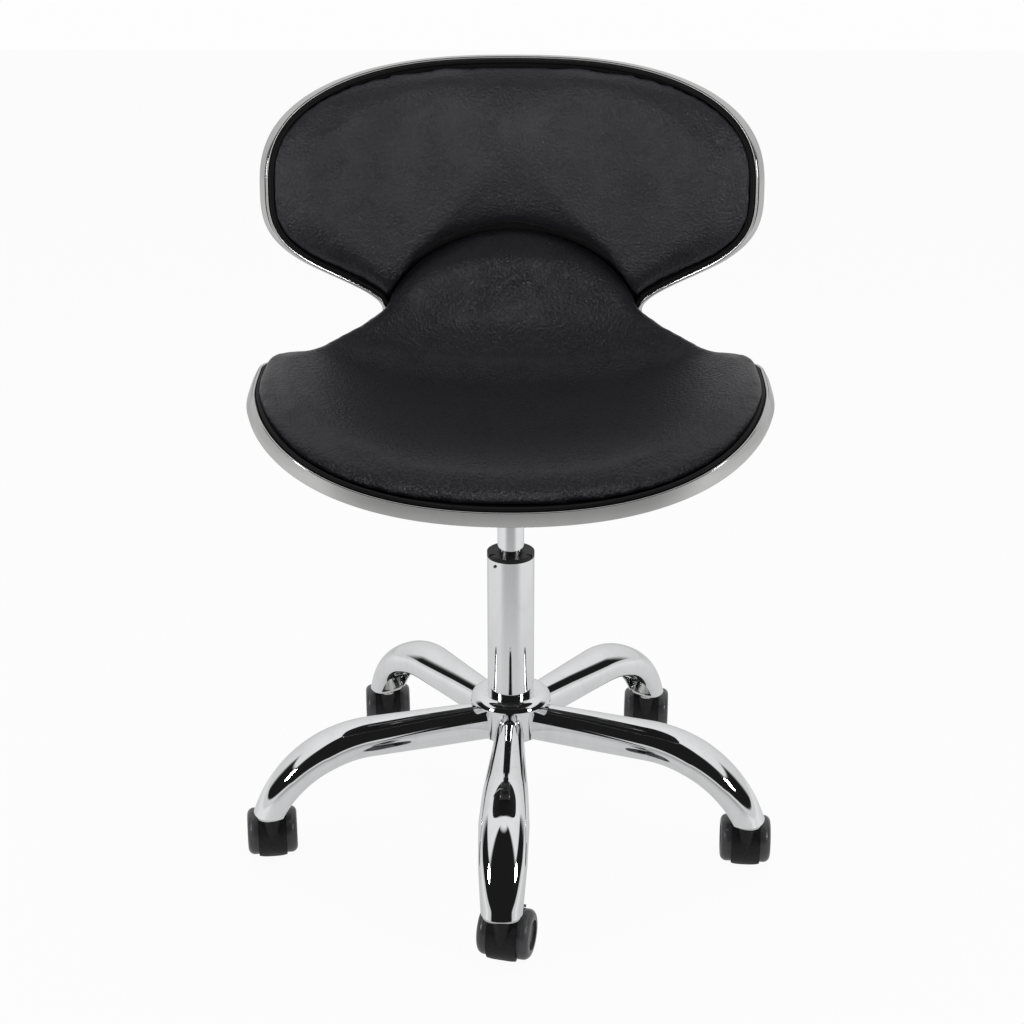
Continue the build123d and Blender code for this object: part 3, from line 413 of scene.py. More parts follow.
@dataclass(frozen=True)
class Moulded(Finish):
    """Moulded plastic or powder coat with a fine texture and rubbed edges."""

    texture_mm: float = 0.6
    texture: float = 0.15
    wear: float = 0.4
    gloss: float = 0.5
    tint: float = 1.35
    rubbed: tuple[float, float] = (2.6, 0.02)
    spread: tuple[float, float] = (-0.04, 0.06)

    def material(self, effects: Effects) -> bpy.types.Material:
        """Build the material.

        Args:
            effects: shared node groups.

        Returns:
            The material.
        """
        material, nodes, shader, place = self.start()
        grit = nodes.add("ShaderNodeTexNoise", Vector=place, Scale=1 / (self.texture_mm * MM), Detail=3.0)
        cloud = nodes.add("ShaderNodeTexNoise", Vector=place, Scale=35.0, Detail=3.0)
        worn = nodes.add("ShaderNodeGroup", {"node_tree": effects.worn}, Place=place)
        worn.inputs["Amount"].default_value = self.wear
        tone = nodes.ramp(cloud.outputs["Fac"], 0.35, 0.7)
        base = self.tinted(nodes, tone, self.tint)
        gain, lift = self.rubbed
        lighter = tuple(min(1.0, channel * gain + lift) for channel in self.colour)
        colour = nodes.mix(worn.outputs["Mask"], base, (*lighter, 1.0))
        rough = nodes.ramp(cloud.outputs["Fac"], *TONE_RANGE, *(self.roughness + step for step in self.spread))
        bump = nodes.add("ShaderNodeBump", Strength=self.texture, Distance=FINE_DEPTH,
                         Height=grit.outputs["Fac"])
        nodes.tree.links.new(colour, shader.inputs["Base Color"])
        nodes.tree.links.new(rough, shader.inputs["Roughness"])
        nodes.tree.links.new(bump.outputs[0], shader.inputs["Normal"])
        shader.inputs["Specular IOR Level"].default_value = self.gloss
        return material


@dataclass(frozen=True)
class Timber(Finish):
    """Clear-coated plywood or block wood with long grain."""

    ring_scale: float = 60.0
    tint: float = 0.55
    coat: float = 0.2
    relief: float = 0.1

    def material(self, effects: Effects) -> bpy.types.Material:
        """Build the material.

        Args:
            effects: shared node groups.

        Returns:
            The material.
        """
        material, nodes, shader, place = self.start()
        long = nodes.add("ShaderNodeMapping", Vector=place, Scale=(1.0, 7.0, 7.0))
        wave = nodes.add("ShaderNodeTexWave", Vector=long.outputs[0], Scale=self.ring_scale / 8, Distortion=6.0,
                         Detail=3.0)
        pore = nodes.add("ShaderNodeTexNoise", Vector=long.outputs[0], Scale=180.0, Detail=4.0)
        smudge = nodes.add("ShaderNodeGroup", {"node_tree": effects.smudge}, Place=place)
        share = nodes.math("MULTIPLY", wave.outputs["Fac"], nodes.ramp(pore.outputs["Fac"], *TONE_RANGE))
        rough = nodes.math("ADD", nodes.math("MULTIPLY", smudge.outputs["Mask"], 0.1), self.roughness)
        bump = nodes.add("ShaderNodeBump", Strength=self.relief, Distance=FINE_DEPTH,
                         Height=pore.outputs["Fac"])
        nodes.tree.links.new(self.tinted(nodes, share, self.tint), shader.inputs["Base Color"])
        nodes.tree.links.new(rough, shader.inputs["Roughness"])
        nodes.tree.links.new(bump.outputs[0], shader.inputs["Normal"])
        shader.inputs["Coat Weight"].default_value = self.coat
        return material


class Finishes:
    """Every finish by its slot, made once and put on pieces and CAD nodes."""

    SPECS: dict[Slot, Finish] = {
        Slot.CHROME: Metal("Mirror chrome plate", (0.86, 0.865, 0.875), 0.025, marks=0.05, waviness=0.004),
        Slot.BAND: Metal("Polished edge band", (0.56, 0.56, 0.555), 0.13, marks=0.12, waviness=0.03),
        Slot.BRIGHT: Metal("Plain bright steel", (0.62, 0.62, 0.61), 0.22, marks=0.12, waviness=0.03, brushed=0.6),
        Slot.ZINC: Metal("Zinc plated steel", (0.66, 0.67, 0.65), 0.24, marks=0.15, waviness=0.05),
        Slot.COAT: Moulded("Black powder coat", (0.018, 0.018, 0.019), 0.5, texture_mm=0.5, texture=0.25, wear=0.5),
        Slot.PLASTIC: Moulded("Moulded black nylon", (0.007, 0.007, 0.0075), 0.45, texture_mm=0.5, texture=0.12,
                              wear=0.2, gloss=0.25),
        Slot.WHEEL: Moulded("Smooth wheel nylon", (0.052, 0.0525, 0.056), 0.3, texture_mm=0.8, texture=0.05, wear=0.3),
        Slot.LEATHER: Hide("Black grained leatherette", (0.0098, 0.0092, 0.0122), 0.39, cell_mm=3.0, grain=0.7,
                           sheen=0.03, gloss=0.42),
        Slot.VINYL: Hide("Black vinyl", (0.003, 0.003, 0.0033), 0.6, cell_mm=1.2, grain=0.08, sheen=0.0, gloss=0.2),
        Slot.PLY: Timber("Clear coated plywood", (0.46, 0.30, 0.17), 0.4),
        Slot.BLOCK: Timber("Plain hardwood", (0.42, 0.28, 0.16), 0.5, ring_scale=80.0),
    }

    def __init__(self) -> None:
        """Build the shared effects and one material for each slot."""
        effects = Effects()
        self.made = {slot: spec.material(effects) for slot, spec in self.SPECS.items()}

    def dress(self, piece: bpy.types.Object, slot: Slot) -> None:
        """Give a piece the finish of a slot."""
        piece.data.materials.clear()
        piece.data.materials.append(self.made[slot])

    def dress_frame(self) -> None:
        """Give every CAD node the finish of its own slot in the record."""
        for row in frame["record"]["subparts"]:
            node = frame["nodes"][row["node"]]
            material = self.made[Slot(row["material_slot"])]
            if not node.material_slots:
                node.data.materials.append(material)
            for holder in node.material_slots:
                holder.material = material


def place_piece(piece: bpy.types.Object, finishes: Finishes, slot: Slot, body: str, *nodes: str) -> None:
    """Dress a finished piece, let it ride on a body and stand for CAD nodes."""
    finishes.dress(piece, slot)
    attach(piece, body)
    if nodes:
        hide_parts(*nodes)
    LOG.info("%s: %d faces on %s", piece.name, len(piece.data.polygons), body)


# ---------------------------------------------------------------- the dished surface


def smoothstep(value: np.ndarray, low: float, high: float) -> np.ndarray:
    """Blend from 0 to 1 while value crosses from low to high, level at both ends."""
    share = np.clip((value - low) / (high - low), 0.0, 1.0)
    return share * share * (3 - 2 * share)


@dataclass
class ShellSurface:
    """Middle surface of the bent shell: a spine of tangent arcs crossed by flat arcs. Millimetres."""

    start: tuple[float, float] = (-208.0, 440.0)
    heading: float = 11.5
    arcs: tuple[tuple[float, float], ...] = ((120.0, -14.0), (145.0, 10.0), (145.0, 72.0), (265.0, 7.7))
    cross_radii: tuple[float, float, float] = (640.0, 530.0, 456.0)
    front_blend: tuple[float, float] = (0.0, 150.0)
    back_blend: tuple[float, float] = (250.0, 400.0)
    station_count: int = 500
    beyond: float = 20.0
    lift_weight: float = 0.3

    def spine(self, t: np.ndarray) -> tuple[np.ndarray, np.ndarray, np.ndarray]:
        """Spine at arc length t.

        Each arc adds (sin of its end heading - sin of its start heading) / bend to Y and the same with minus
        cosines to Z, where only the part of the arc before t counts.

        Args:
            t: arc lengths in millimetres.

        Returns:
            Y, Z and heading in radians.
        """
        y, z = np.full(np.shape(t), self.start[0]), np.full(np.shape(t), self.start[1])
        heading, begun = radians(self.heading), 0.0
        total = np.full(np.shape(t), heading)
        for index, (length, turn) in enumerate(self.arcs):
            low = -np.inf if index == 0 else 0.0
            high = np.inf if index == len(self.arcs) - 1 else length
            run = np.clip(t - begun, low, high)
            bend = radians(turn) / length
            y = y + (np.sin(heading + bend * run) - sin(heading)) / bend
            z = z - (np.cos(heading + bend * run) - cos(heading)) / bend
            total = total + bend * run
            heading, begun = heading + radians(turn), begun + length
        return y, z, total

    def cross_radius(self, t: np.ndarray) -> np.ndarray:
        """Radius of the sideways arc at t: curvatures blended from front to seat to back."""
        front, seat, back = (1 / radius for radius in self.cross_radii)
        return 1 / (front + (seat - front) * smoothstep(t, *self.front_blend)
                    + (back - seat) * smoothstep(t, *self.back_blend))

    def at(self, t: np.ndarray, x: np.ndarray, lift: np.ndarray | float = 0.0) -> np.ndarray:
        """Points on the surface, or lifted off it towards the sitter.

        The sideways arc raises a point by radius - sqrt(radius^2 - x^2); that rise and the lift go square to the
        spine's heading.

        Args:
            t: arc lengths along the spine in millimetres.
            x: sideways distances in millimetres.
            lift: height over the surface in millimetres.

        Returns:
            Array of points in metres.
        """
        y, z, heading = self.spine(t)
        radius = self.cross_radius(t)
        rise = radius - np.sqrt(np.maximum(radius ** 2 - x ** 2, 0.0)) + lift
        return np.stack([x + 0 * y, y - np.sin(heading) * rise, z + np.cos(heading) * rise], -1) * MM

    def axes(self, t: np.ndarray, x: np.ndarray) -> tuple[np.ndarray, np.ndarray]:
        """Unit tangent round a closed loop of (t, x) points and the unit surface normal at each of them."""
        points = self.at(t, x)
        along = np.roll(points, -1, 0) - np.roll(points, 1, 0)
        along /= np.linalg.norm(along, axis=1, keepdims=True)
        step = 0.5
        sideways = self.at(t, x + step) - self.at(t, x - step)
        forwards = self.at(t + step, x) - self.at(t - step, x)
        normal = np.cross(sideways, forwards)
        return along, normal / np.linalg.norm(normal, axis=1, keepdims=True)

    def locate(self, points: np.ndarray) -> tuple[np.ndarray, np.ndarray]:
        """Arc length and lift of points near the surface.

        For a fine row of stations the point's distance along the heading and its height over the surface are
        worked out; the station with the least sum of the two distances wins.

        Args:
            points: n x 3 array in metres.

        Returns:
            t and lift in millimetres.
        """
        stations = np.linspace(0.0, sum(length for length, _ in self.arcs) + self.beyond, self.station_count)
        y, z, heading = self.spine(stations)
        radius = self.cross_radius(stations)
        flat = points / MM
        dy, dz = flat[:, 1, None] - y, flat[:, 2, None] - z
        along = dy * np.cos(heading) + dz * np.sin(heading)
        rise = radius - np.sqrt(np.maximum(radius ** 2 - flat[:, 0, None] ** 2, 0.0))
        lift = dz * np.cos(heading) - dy * np.sin(heading) - rise
        best = np.argmin(np.abs(along) + self.lift_weight * np.abs(lift), axis=1)
        rows = np.arange(len(flat))
        return stations[best], lift[rows, best]


@dataclass
class Outline:
    """Outline of the shell in (t, x): two superellipses joined by smooth cubics at the neck. Millimetres."""

    front: float = 15.3
    widest: float = 228.0
    half_width: float = 258.0
    fullness: float = 3.3
    back_widest: float = 543.7
    top: float = 675.3
    back_half_width: float = 253.9
    back_fullness: float = 2.66
    neck: tuple[tuple[float, float, float], ...] = ((300.0, 219.0, -0.72), (355.0, 178.0, -0.78),
                                                    (409.0, 135.0, -0.2), (462.0, 207.0, 1.7))
    steps: int = 400

    def half(self) -> np.ndarray:
        """Right half from the middle of the front to the middle of the top.

        The ends are superellipses, t = widest -+ depth * sin^(2/n), x = half width * cos^(2/n); between the knots
        the half width is a cubic Hermite blend of its values and slopes.

        Returns:
            n x 2 array of (t, x).
        """
        angle = np.linspace(pi / 2, 0, self.steps, endpoint=False)
        seat = np.stack([self.widest - (self.widest - self.front) * np.sin(angle) ** (2 / self.fullness),
                         self.half_width * np.cos(angle) ** (2 / self.fullness)], -1)
        knots = ((self.widest, self.half_width, 0.0), *self.neck, (self.back_widest, self.back_half_width, 0.0))
        parts = [seat]
        for (t0, w0, s0), (t1, w1, s1) in zip(knots, knots[1:]):
            q, span = np.linspace(0, 1, self.steps // 4, endpoint=False), t1 - t0
            width = ((2 * q ** 3 - 3 * q ** 2 + 1) * w0 + (q ** 3 - 2 * q ** 2 + q) * span * s0
                     + (3 * q ** 2 - 2 * q ** 3) * w1 + (q ** 3 - q ** 2) * span * s1)
            parts.append(np.stack([t0 + span * q, width], -1))
        angle = np.linspace(0, pi / 2, self.steps)
        parts.append(np.stack([
            self.back_widest + (self.top - self.back_widest) * np.sin(angle) ** (2 / self.back_fullness),
            self.back_half_width * np.cos(angle) ** (2 / self.back_fullness)], -1))
        return np.concatenate(parts)

    def width_at(self, t: np.ndarray) -> np.ndarray:
        """Half width at t."""
        half = self.half()
        return np.interp(t, half[:, 0], half[:, 1])


def evenly(line: np.ndarray, count: int) -> np.ndarray:
    """Points at equal distances along a line of (t, x) points, both ends kept."""
    run = np.concatenate([[0.0], np.cumsum(np.linalg.norm(np.diff(line, axis=0), axis=1))])
    target = np.linspace(0, run[-1], count)
    return np.stack([np.interp(target, run, line[:, 0]), np.interp(target, run, line[:, 1])], -1)


def softened(values: np.ndarray, reach: int) -> np.ndarray:
    """Values round a closed loop, each the mean of its neighbours up to reach stations away."""
    return np.mean([np.roll(values, step) for step in range(-reach, reach + 1)], axis=0)


def both_sides(half: np.ndarray) -> np.ndarray:
    """Closed loop from a right half: up the right side, then down the mirrored left side."""
    left = half[-2:0:-1] * np.array([1.0, -1.0])
    return np.concatenate([half, left])


# ---------------------------------------------------------------- sub-assemblies


@dataclass
class SeatShell:
    """Back cover, metal band and cord welt round the bent shell. Millimetres."""

    surface: ShellSurface
    outline: Outline
    columns: int = 360
    rings: int = 40
    lining_lifts: tuple[float, float] = (-8.4, -6.2)
    lining_inset: float = 0.4
    ply_lifts: tuple[float, float] = (-6.0, 6.0)
    under_lifts: tuple[float, float] = (6.1, 7.0)
    band_half_height: float = 8.0
    band_thickness: float = 3.0
    band_corner: float = 1.1
    band_bulge: float = 0.5
    band_root: float = 0.3
    band_steps: int = 7
    welt_radius: float = 2.6
    welt_inset: float = 2.7
    welt_lift: float = 8.7
    welt_sides: int = 16
    sheet_angle: float = 50.0
    centre: tuple[float, float] = (410.0, 0.0)

    def loop(self) -> np.ndarray:
        """Even stations round the whole outline as (t, x)."""
        return both_sides(evenly(self.outline.half(), self.columns + 1))

    def carried(self, profile: np.ndarray) -> np.ndarray:
        """Carry a closed profile of (outwards, lift) round the outline.

        Each point is the loop's point + outwards * side + lift * normal, where side is tangent x normal.

        Args:
            profile: m x 2 array in millimetres.

        Returns:
            stations x m x 3 grid in metres.
        """
        loop = self.loop()
        t, x = loop[:, 0], loop[:, 1]
        along, normal = self.surface.axes(t, x)
        side = np.cross(along, normal)
        middle = self.surface.at(t, x)
        return middle[:, None] + (profile[None, :, :1] * side[:, None] + profile[None, :, 1:] * normal[:, None]) * MM

    def band(self) -> bpy.types.Object:
        """Metal band: a tall thin section with rounded lips and a slightly bulged face."""
        height, corner, face = self.band_half_height, self.band_corner, self.band_thickness - self.band_root
        profile = rounded([(0.0, -height, corner), (face, -height, corner), (face + self.band_bulge, 0.0, height),
                           (face, height, corner), (0.0, height, corner)], self.band_steps)
        return Draft().grid(self.carried(profile), wrap_rows=True, wrap_cols=True).build("seat_edge_band")

    def welt(self) -> bpy.types.Object:
        """Cord line inside the band: a round section."""
        angle = np.linspace(0, 2 * pi, self.welt_sides, endpoint=False)
        profile = np.stack([self.welt_radius * np.cos(angle) - self.welt_inset,
                            self.welt_radius * np.sin(angle) + self.welt_lift], -1)
        return Draft().grid(self.carried(profile), wrap_rows=True, wrap_cols=True).build("seat_cord_welt")

    def sheet(self, name: str, lifts: tuple[float, float]) -> bpy.types.Object:
        """Closed sheet between two lifts: loops that shrink towards the neck, on its outer and inner face.

        Args:
            name: name of the piece.
            lifts: heights of its two faces over the middle surface.

        Returns:
            The piece.
        """
        loop, centre = self.loop(), np.array(self.centre)
        inset = self.lining_inset / np.linalg.norm(loop - centre, axis=1, keepdims=True)
        rows = []
        share = np.sin(np.linspace(0, pi / 2, self.rings))
        for lift, order in ((lifts[0], share), (lifts[1], share[::-1])):
            for part in order:
                at = centre + (loop - centre) * (1 - inset) * part
                rows.append(self.surface.at(at[:, 0], at[:, 1], lift))
        return Draft().grid(np.stack(rows), wrap_cols=True).build(name, radians(self.sheet_angle))

    def make(self, finishes: Finishes) -> None:
        """Build and place the five pieces."""
        place_piece(self.band(), finishes, Slot.BAND, "seat", "rim_trim")
        place_piece(self.welt(), finishes, Slot.VINYL, "seat", "edge_welt")
        cover = self.sheet("seat_back_cover", self.lining_lifts)
        place_piece(cover, finishes, Slot.VINYL, "seat", "shell_lining")
        place_piece(self.sheet("seat_plywood", self.ply_lifts), finishes, Slot.PLY, "seat", "seat_shell")
        under = self.sheet("pad_base_cloth", self.under_lifts)
        place_piece(under, finishes, Slot.VINYL, "seat", "seat_shell")


@dataclass
class PadShape:
    """One pad before it is filled: a closed form over a star-shaped patch of the shell. Millimetres."""

    name: str
    node: str
    centre: tuple[float, float]
    top: float
    side_radius: float
    roll: float
    front_roll: float
    crease_roll: float
    crease_radius: float
    crown: float
    fill: float
    bed: float = 7.6
    inset: float = 7.0
    swell_cap: float = 4.5
    voxel: float = 4.5
    rings: int = 34
    side_rings: int = 5
    roll_rings: int = 12


@dataclass
class Pads:
    """Seat pad with its tongue and the back pad behind it. Millimetres."""

    surface: ShellSurface
    outline: Outline
    columns: int = 300
    neck_t: float = 411.0
    tongue_top: float = 500.0
    tongue_power: float = 1.8
    overhang: float = 16.0
    overhang_span: tuple[float, float] = (240.0, 395.0)
    neck_span: tuple[float, float] = (405.0, 421.0)
    front_span: tuple[float, float] = (30.0, 190.0)
    roll_share: float = 0.7
    fold: tuple[float, float, float] = (335.0, 16.0, 2.6)
    fold_fade: float = 0.3
    gap: float = 0.6
    edge_slack: float = 1.0
    crease_blend: int = 9
    edge_blend: int = 3
    loose_over: tuple[float, float] = (1.0, 10.0)
    relax: tuple[float, int] = (0.5, 14)
    seat: PadShape = field(default_factory=lambda: PadShape(
        "seat_cushion", "seat_pad", (330.0, 0.0), top=33.0, side_radius=15.0, roll=24.0, front_roll=62.0,
        crease_roll=40.0, crease_radius=14.0, crown=0.0, fill=0.75))
    back: PadShape = field(default_factory=lambda: PadShape(
        "back_cushion", "back_pad", (588.0, 0.0), top=25.0, side_radius=13.0, roll=26.0, front_roll=26.0,
        crease_roll=34.0, crease_radius=10.0, crown=5.0, fill=0.7))

    def tongue(self, grow: float, steps: int = 200) -> np.ndarray:
        """Right half of the tongue, foot to crest.

        It is a superellipse: t = neck + height * sin^(2/n) and x = half width * cos^(2/n) of one angle.

        Args:
            grow: how far the tongue is moved out all round.
            steps: number of points.

        Returns:
            n x 2 array of (t, x).
        """
        angle, power = np.linspace(0, pi / 2, steps), 2 / self.tongue_power
        half_width = float(self.outline.width_at(np.array(self.neck_t))) + grow
        height = self.tongue_top + grow - self.neck_t
        return np.stack([self.neck_t + height * np.sin(angle) ** power, half_width * np.cos(angle) ** power], -1)

    def seat_loop(self) -> np.ndarray:
        """The shell's outline up to the neck, then the tongue."""
        half = self.outline.half()
        return both_sides(evenly(np.concatenate([half[half[:, 0] < self.neck_t], self.tongue(0.0)]),
                                 self.columns + 1))

    def back_loop(self) -> np.ndarray:
        """From the tongue's crest down to the neck, then the shell's outline up to the top."""
        half = self.outline.half()
        tongue = self.tongue(self.gap)
        inner = tongue[::-1]
        outer = half[half[:, 0] > self.neck_t + self.back.inset]
        inner = inner[inner[:, 1] < outer[0, 1] - 2 * self.back.inset]
        return both_sides(evenly(np.concatenate([inner, outer]), self.columns + 1))

    def form(self, shape: PadShape, loop: np.ndarray) -> np.ndarray:
        """Closed pad over a loop.

        Rings go from the middle of the bed out to the edge, up the side to the overhang, round a quarter ellipse
        and in again to the middle of the top. A ring's point is the loop's point moved towards the patch's centre
        by the ring's inset.

        Args:
            shape: the pad's sizes.
            loop: n x 2 loop of (t, x).

        Returns:
            rings x n x 3 grid in metres.
        """
        centre = np.array(shape.centre)
        reach = np.linalg.norm(loop - centre, axis=1)
        t = loop[:, 0]
        on_tongue = (t > self.neck_t) & (np.abs(loop[:, 1]) < self.outline.width_at(t) - self.edge_slack)
        base = np.where(on_tongue, 0.0, shape.inset)
        if shape is self.seat:
            fading = 1 - smoothstep(t, *self.neck_span)
            out = smoothstep(t, *self.overhang_span) * fading
            edge = np.where(on_tongue, -self.overhang * fading, base * (1 - out) - self.overhang * out)
            roll = shape.roll + (shape.front_roll - shape.roll) * (1 - smoothstep(t, *self.front_span))
        else:
            edge, roll = base, np.full(len(t), shape.roll)
        crease = softened(on_tongue.astype(float), self.crease_blend)
        edge = softened(edge, self.edge_blend)
        roll = np.minimum(roll + (shape.crease_roll - roll) * crease, self.roll_share * reach)
        radius = shape.side_radius + (shape.crease_radius - shape.side_radius) * crease
        rows = []
        fold_t, fold_width, fold_depth = self.fold

        def ring(inset: np.ndarray, lift: np.ndarray | float, dip: float = 0.0) -> None:
            """Add a ring at an inset and a lift, dipped along the fold where the seat turns up."""
            at = loop + (centre - loop) * (inset / reach)[:, None]
            groove = dip * fold_depth * np.exp(-((at[:, 0] - fold_t) / fold_width) ** 2)
            rows.append(self.surface.at(at[:, 0], at[:, 1], lift - groove))

        for share in np.linspace(1, 0, shape.rings, endpoint=False):
            ring(base + (reach - base) * share, shape.bed)
        side = shape.top - radius
        for share in np.linspace(0, 1, shape.side_rings, endpoint=False):
            ring(base + (edge - base) * smoothstep(np.array(share), 0, 1), shape.bed + (side - shape.bed) * share)
        for angle in np.linspace(0, pi / 2, shape.roll_rings, endpoint=False):
            ring(edge + roll * (1 - cos(angle)), side + radius * sin(angle))
        for share in np.linspace(0, 1, shape.rings):
            ring(edge + roll + (reach - edge - roll) * share, shape.top + shape.crown * sin(share * pi / 2),
                 float(smoothstep(np.array(share), 0.0, self.fold_fade)))
        return np.stack(rows)

    def filled(self, piece: bpy.types.Object, shape: PadShape) -> None:
        """Fill a pad with air pressure as cloth, keep it on its bed and cap how far it swells.

        Args:
            piece: the pad's closed mesh; its mesh is replaced.
            shape: the pad's sizes.
        """
        remesh = piece.modifiers.new("even", "REMESH")
        remesh.mode, remesh.voxel_size = "VOXEL", shape.voxel * MM
        bake_modifiers(piece)
        mesh = piece.data
        before = read_points(mesh)
        after = Filling().blown_up(piece, before)
        _, lift = self.surface.locate(before)
        move = after - before
        length = np.linalg.norm(move, axis=1)
        cap = shape.swell_cap * MM
        held = cap * np.tanh(length / cap) / np.maximum(length, 1e-9)
        loose = smoothstep(lift, *(shape.bed + over for over in self.loose_over))
        write_points(mesh, before + move * (held * loose)[:, None])
        relax = piece.modifiers.new("relax", "SMOOTH")
        relax.factor, relax.iterations = self.relax
        finer = piece.modifiers.new("finer", "SUBSURF")
        finer.levels = finer.render_levels = 1
        bake_modifiers(piece)
        piece.data.shade_smooth()

    def make(self, finishes: Finishes) -> None:
        """Build, fill and place both pads."""
        for shape, loop in ((self.seat, self.seat_loop()), (self.back, self.back_loop())):
            piece = Draft().grid(self.form(shape, loop), wrap_cols=True).build(shape.name, pi)
            self.filled(piece, shape)
            place_piece(piece, finishes, Slot.LEATHER, "seat", shape.node)


def read_points(mesh: bpy.types.Mesh) -> np.ndarray:
    """Vertex positions as an n x 3 array."""
    flat = np.empty(len(mesh.vertices) * 3, np.float32)
    mesh.vertices.foreach_get("co", flat)
    return flat.reshape(-1, 3).astype(float)


def write_points(mesh: bpy.types.Mesh, points: np.ndarray) -> None:
    """Set vertex positions from an n x 3 array."""
    mesh.vertices.foreach_set("co", points.astype(np.float32).ravel())
    mesh.update()


def bake_modifiers(piece: bpy.types.Object) -> None:
    """Replace a piece's mesh by what its modifiers make of it."""
    graph = bpy.context.evaluated_depsgraph_get()
    graph.update()
    baked = bpy.data.meshes.new_from_object(piece.evaluated_get(graph), depsgraph=graph)
    old = piece.data
    piece.modifiers.clear()
    piece.data = baked
    baked.name = piece.name
    bpy.data.meshes.remove(old)


@dataclass(frozen=True)
class Filling:
    """Air that fills a closed cloth: how the cloth resists and how long the pressure acts."""

    quality: int = 5
    mass: float = 0.3
    stretch: float = 15.0
    bending: float = 2.0
    pressure: float = 4.0
    frames: int = 20

    def blown_up(self, piece: bpy.types.Object, before: np.ndarray) -> np.ndarray:
        """Positions of a closed mesh after some frames as weightless cloth under inner pressure.

        Args:
            piece: the closed mesh; it is left as it was.
            before: its positions, returned if the cloth fails.

        Returns:
            n x 3 array in metres.
        """
        cloth = piece.modifiers.new("filling", "CLOTH")
        settings = cloth.settings
        settings.quality, settings.mass = self.quality, self.mass
        settings.tension_stiffness = settings.compression_stiffness = self.stretch
        settings.bending_stiffness = self.bending
        settings.use_pressure = True
        settings.uniform_pressure_force = self.pressure
        settings.effector_weights.gravity = 0.0
        cloth.point_cache.frame_start, cloth.point_cache.frame_end = 1, self.frames
        scene = bpy.context.scene
        for frame_number in range(1, self.frames + 1):
            scene.frame_set(frame_number)
        graph = bpy.context.evaluated_depsgraph_get()
        shaped = read_points(piece.evaluated_get(graph).data)
        piece.modifiers.remove(cloth)
        scene.frame_set(1)
        return shaped if shaped.shape == before.shape and np.isfinite(shaped).all() else before


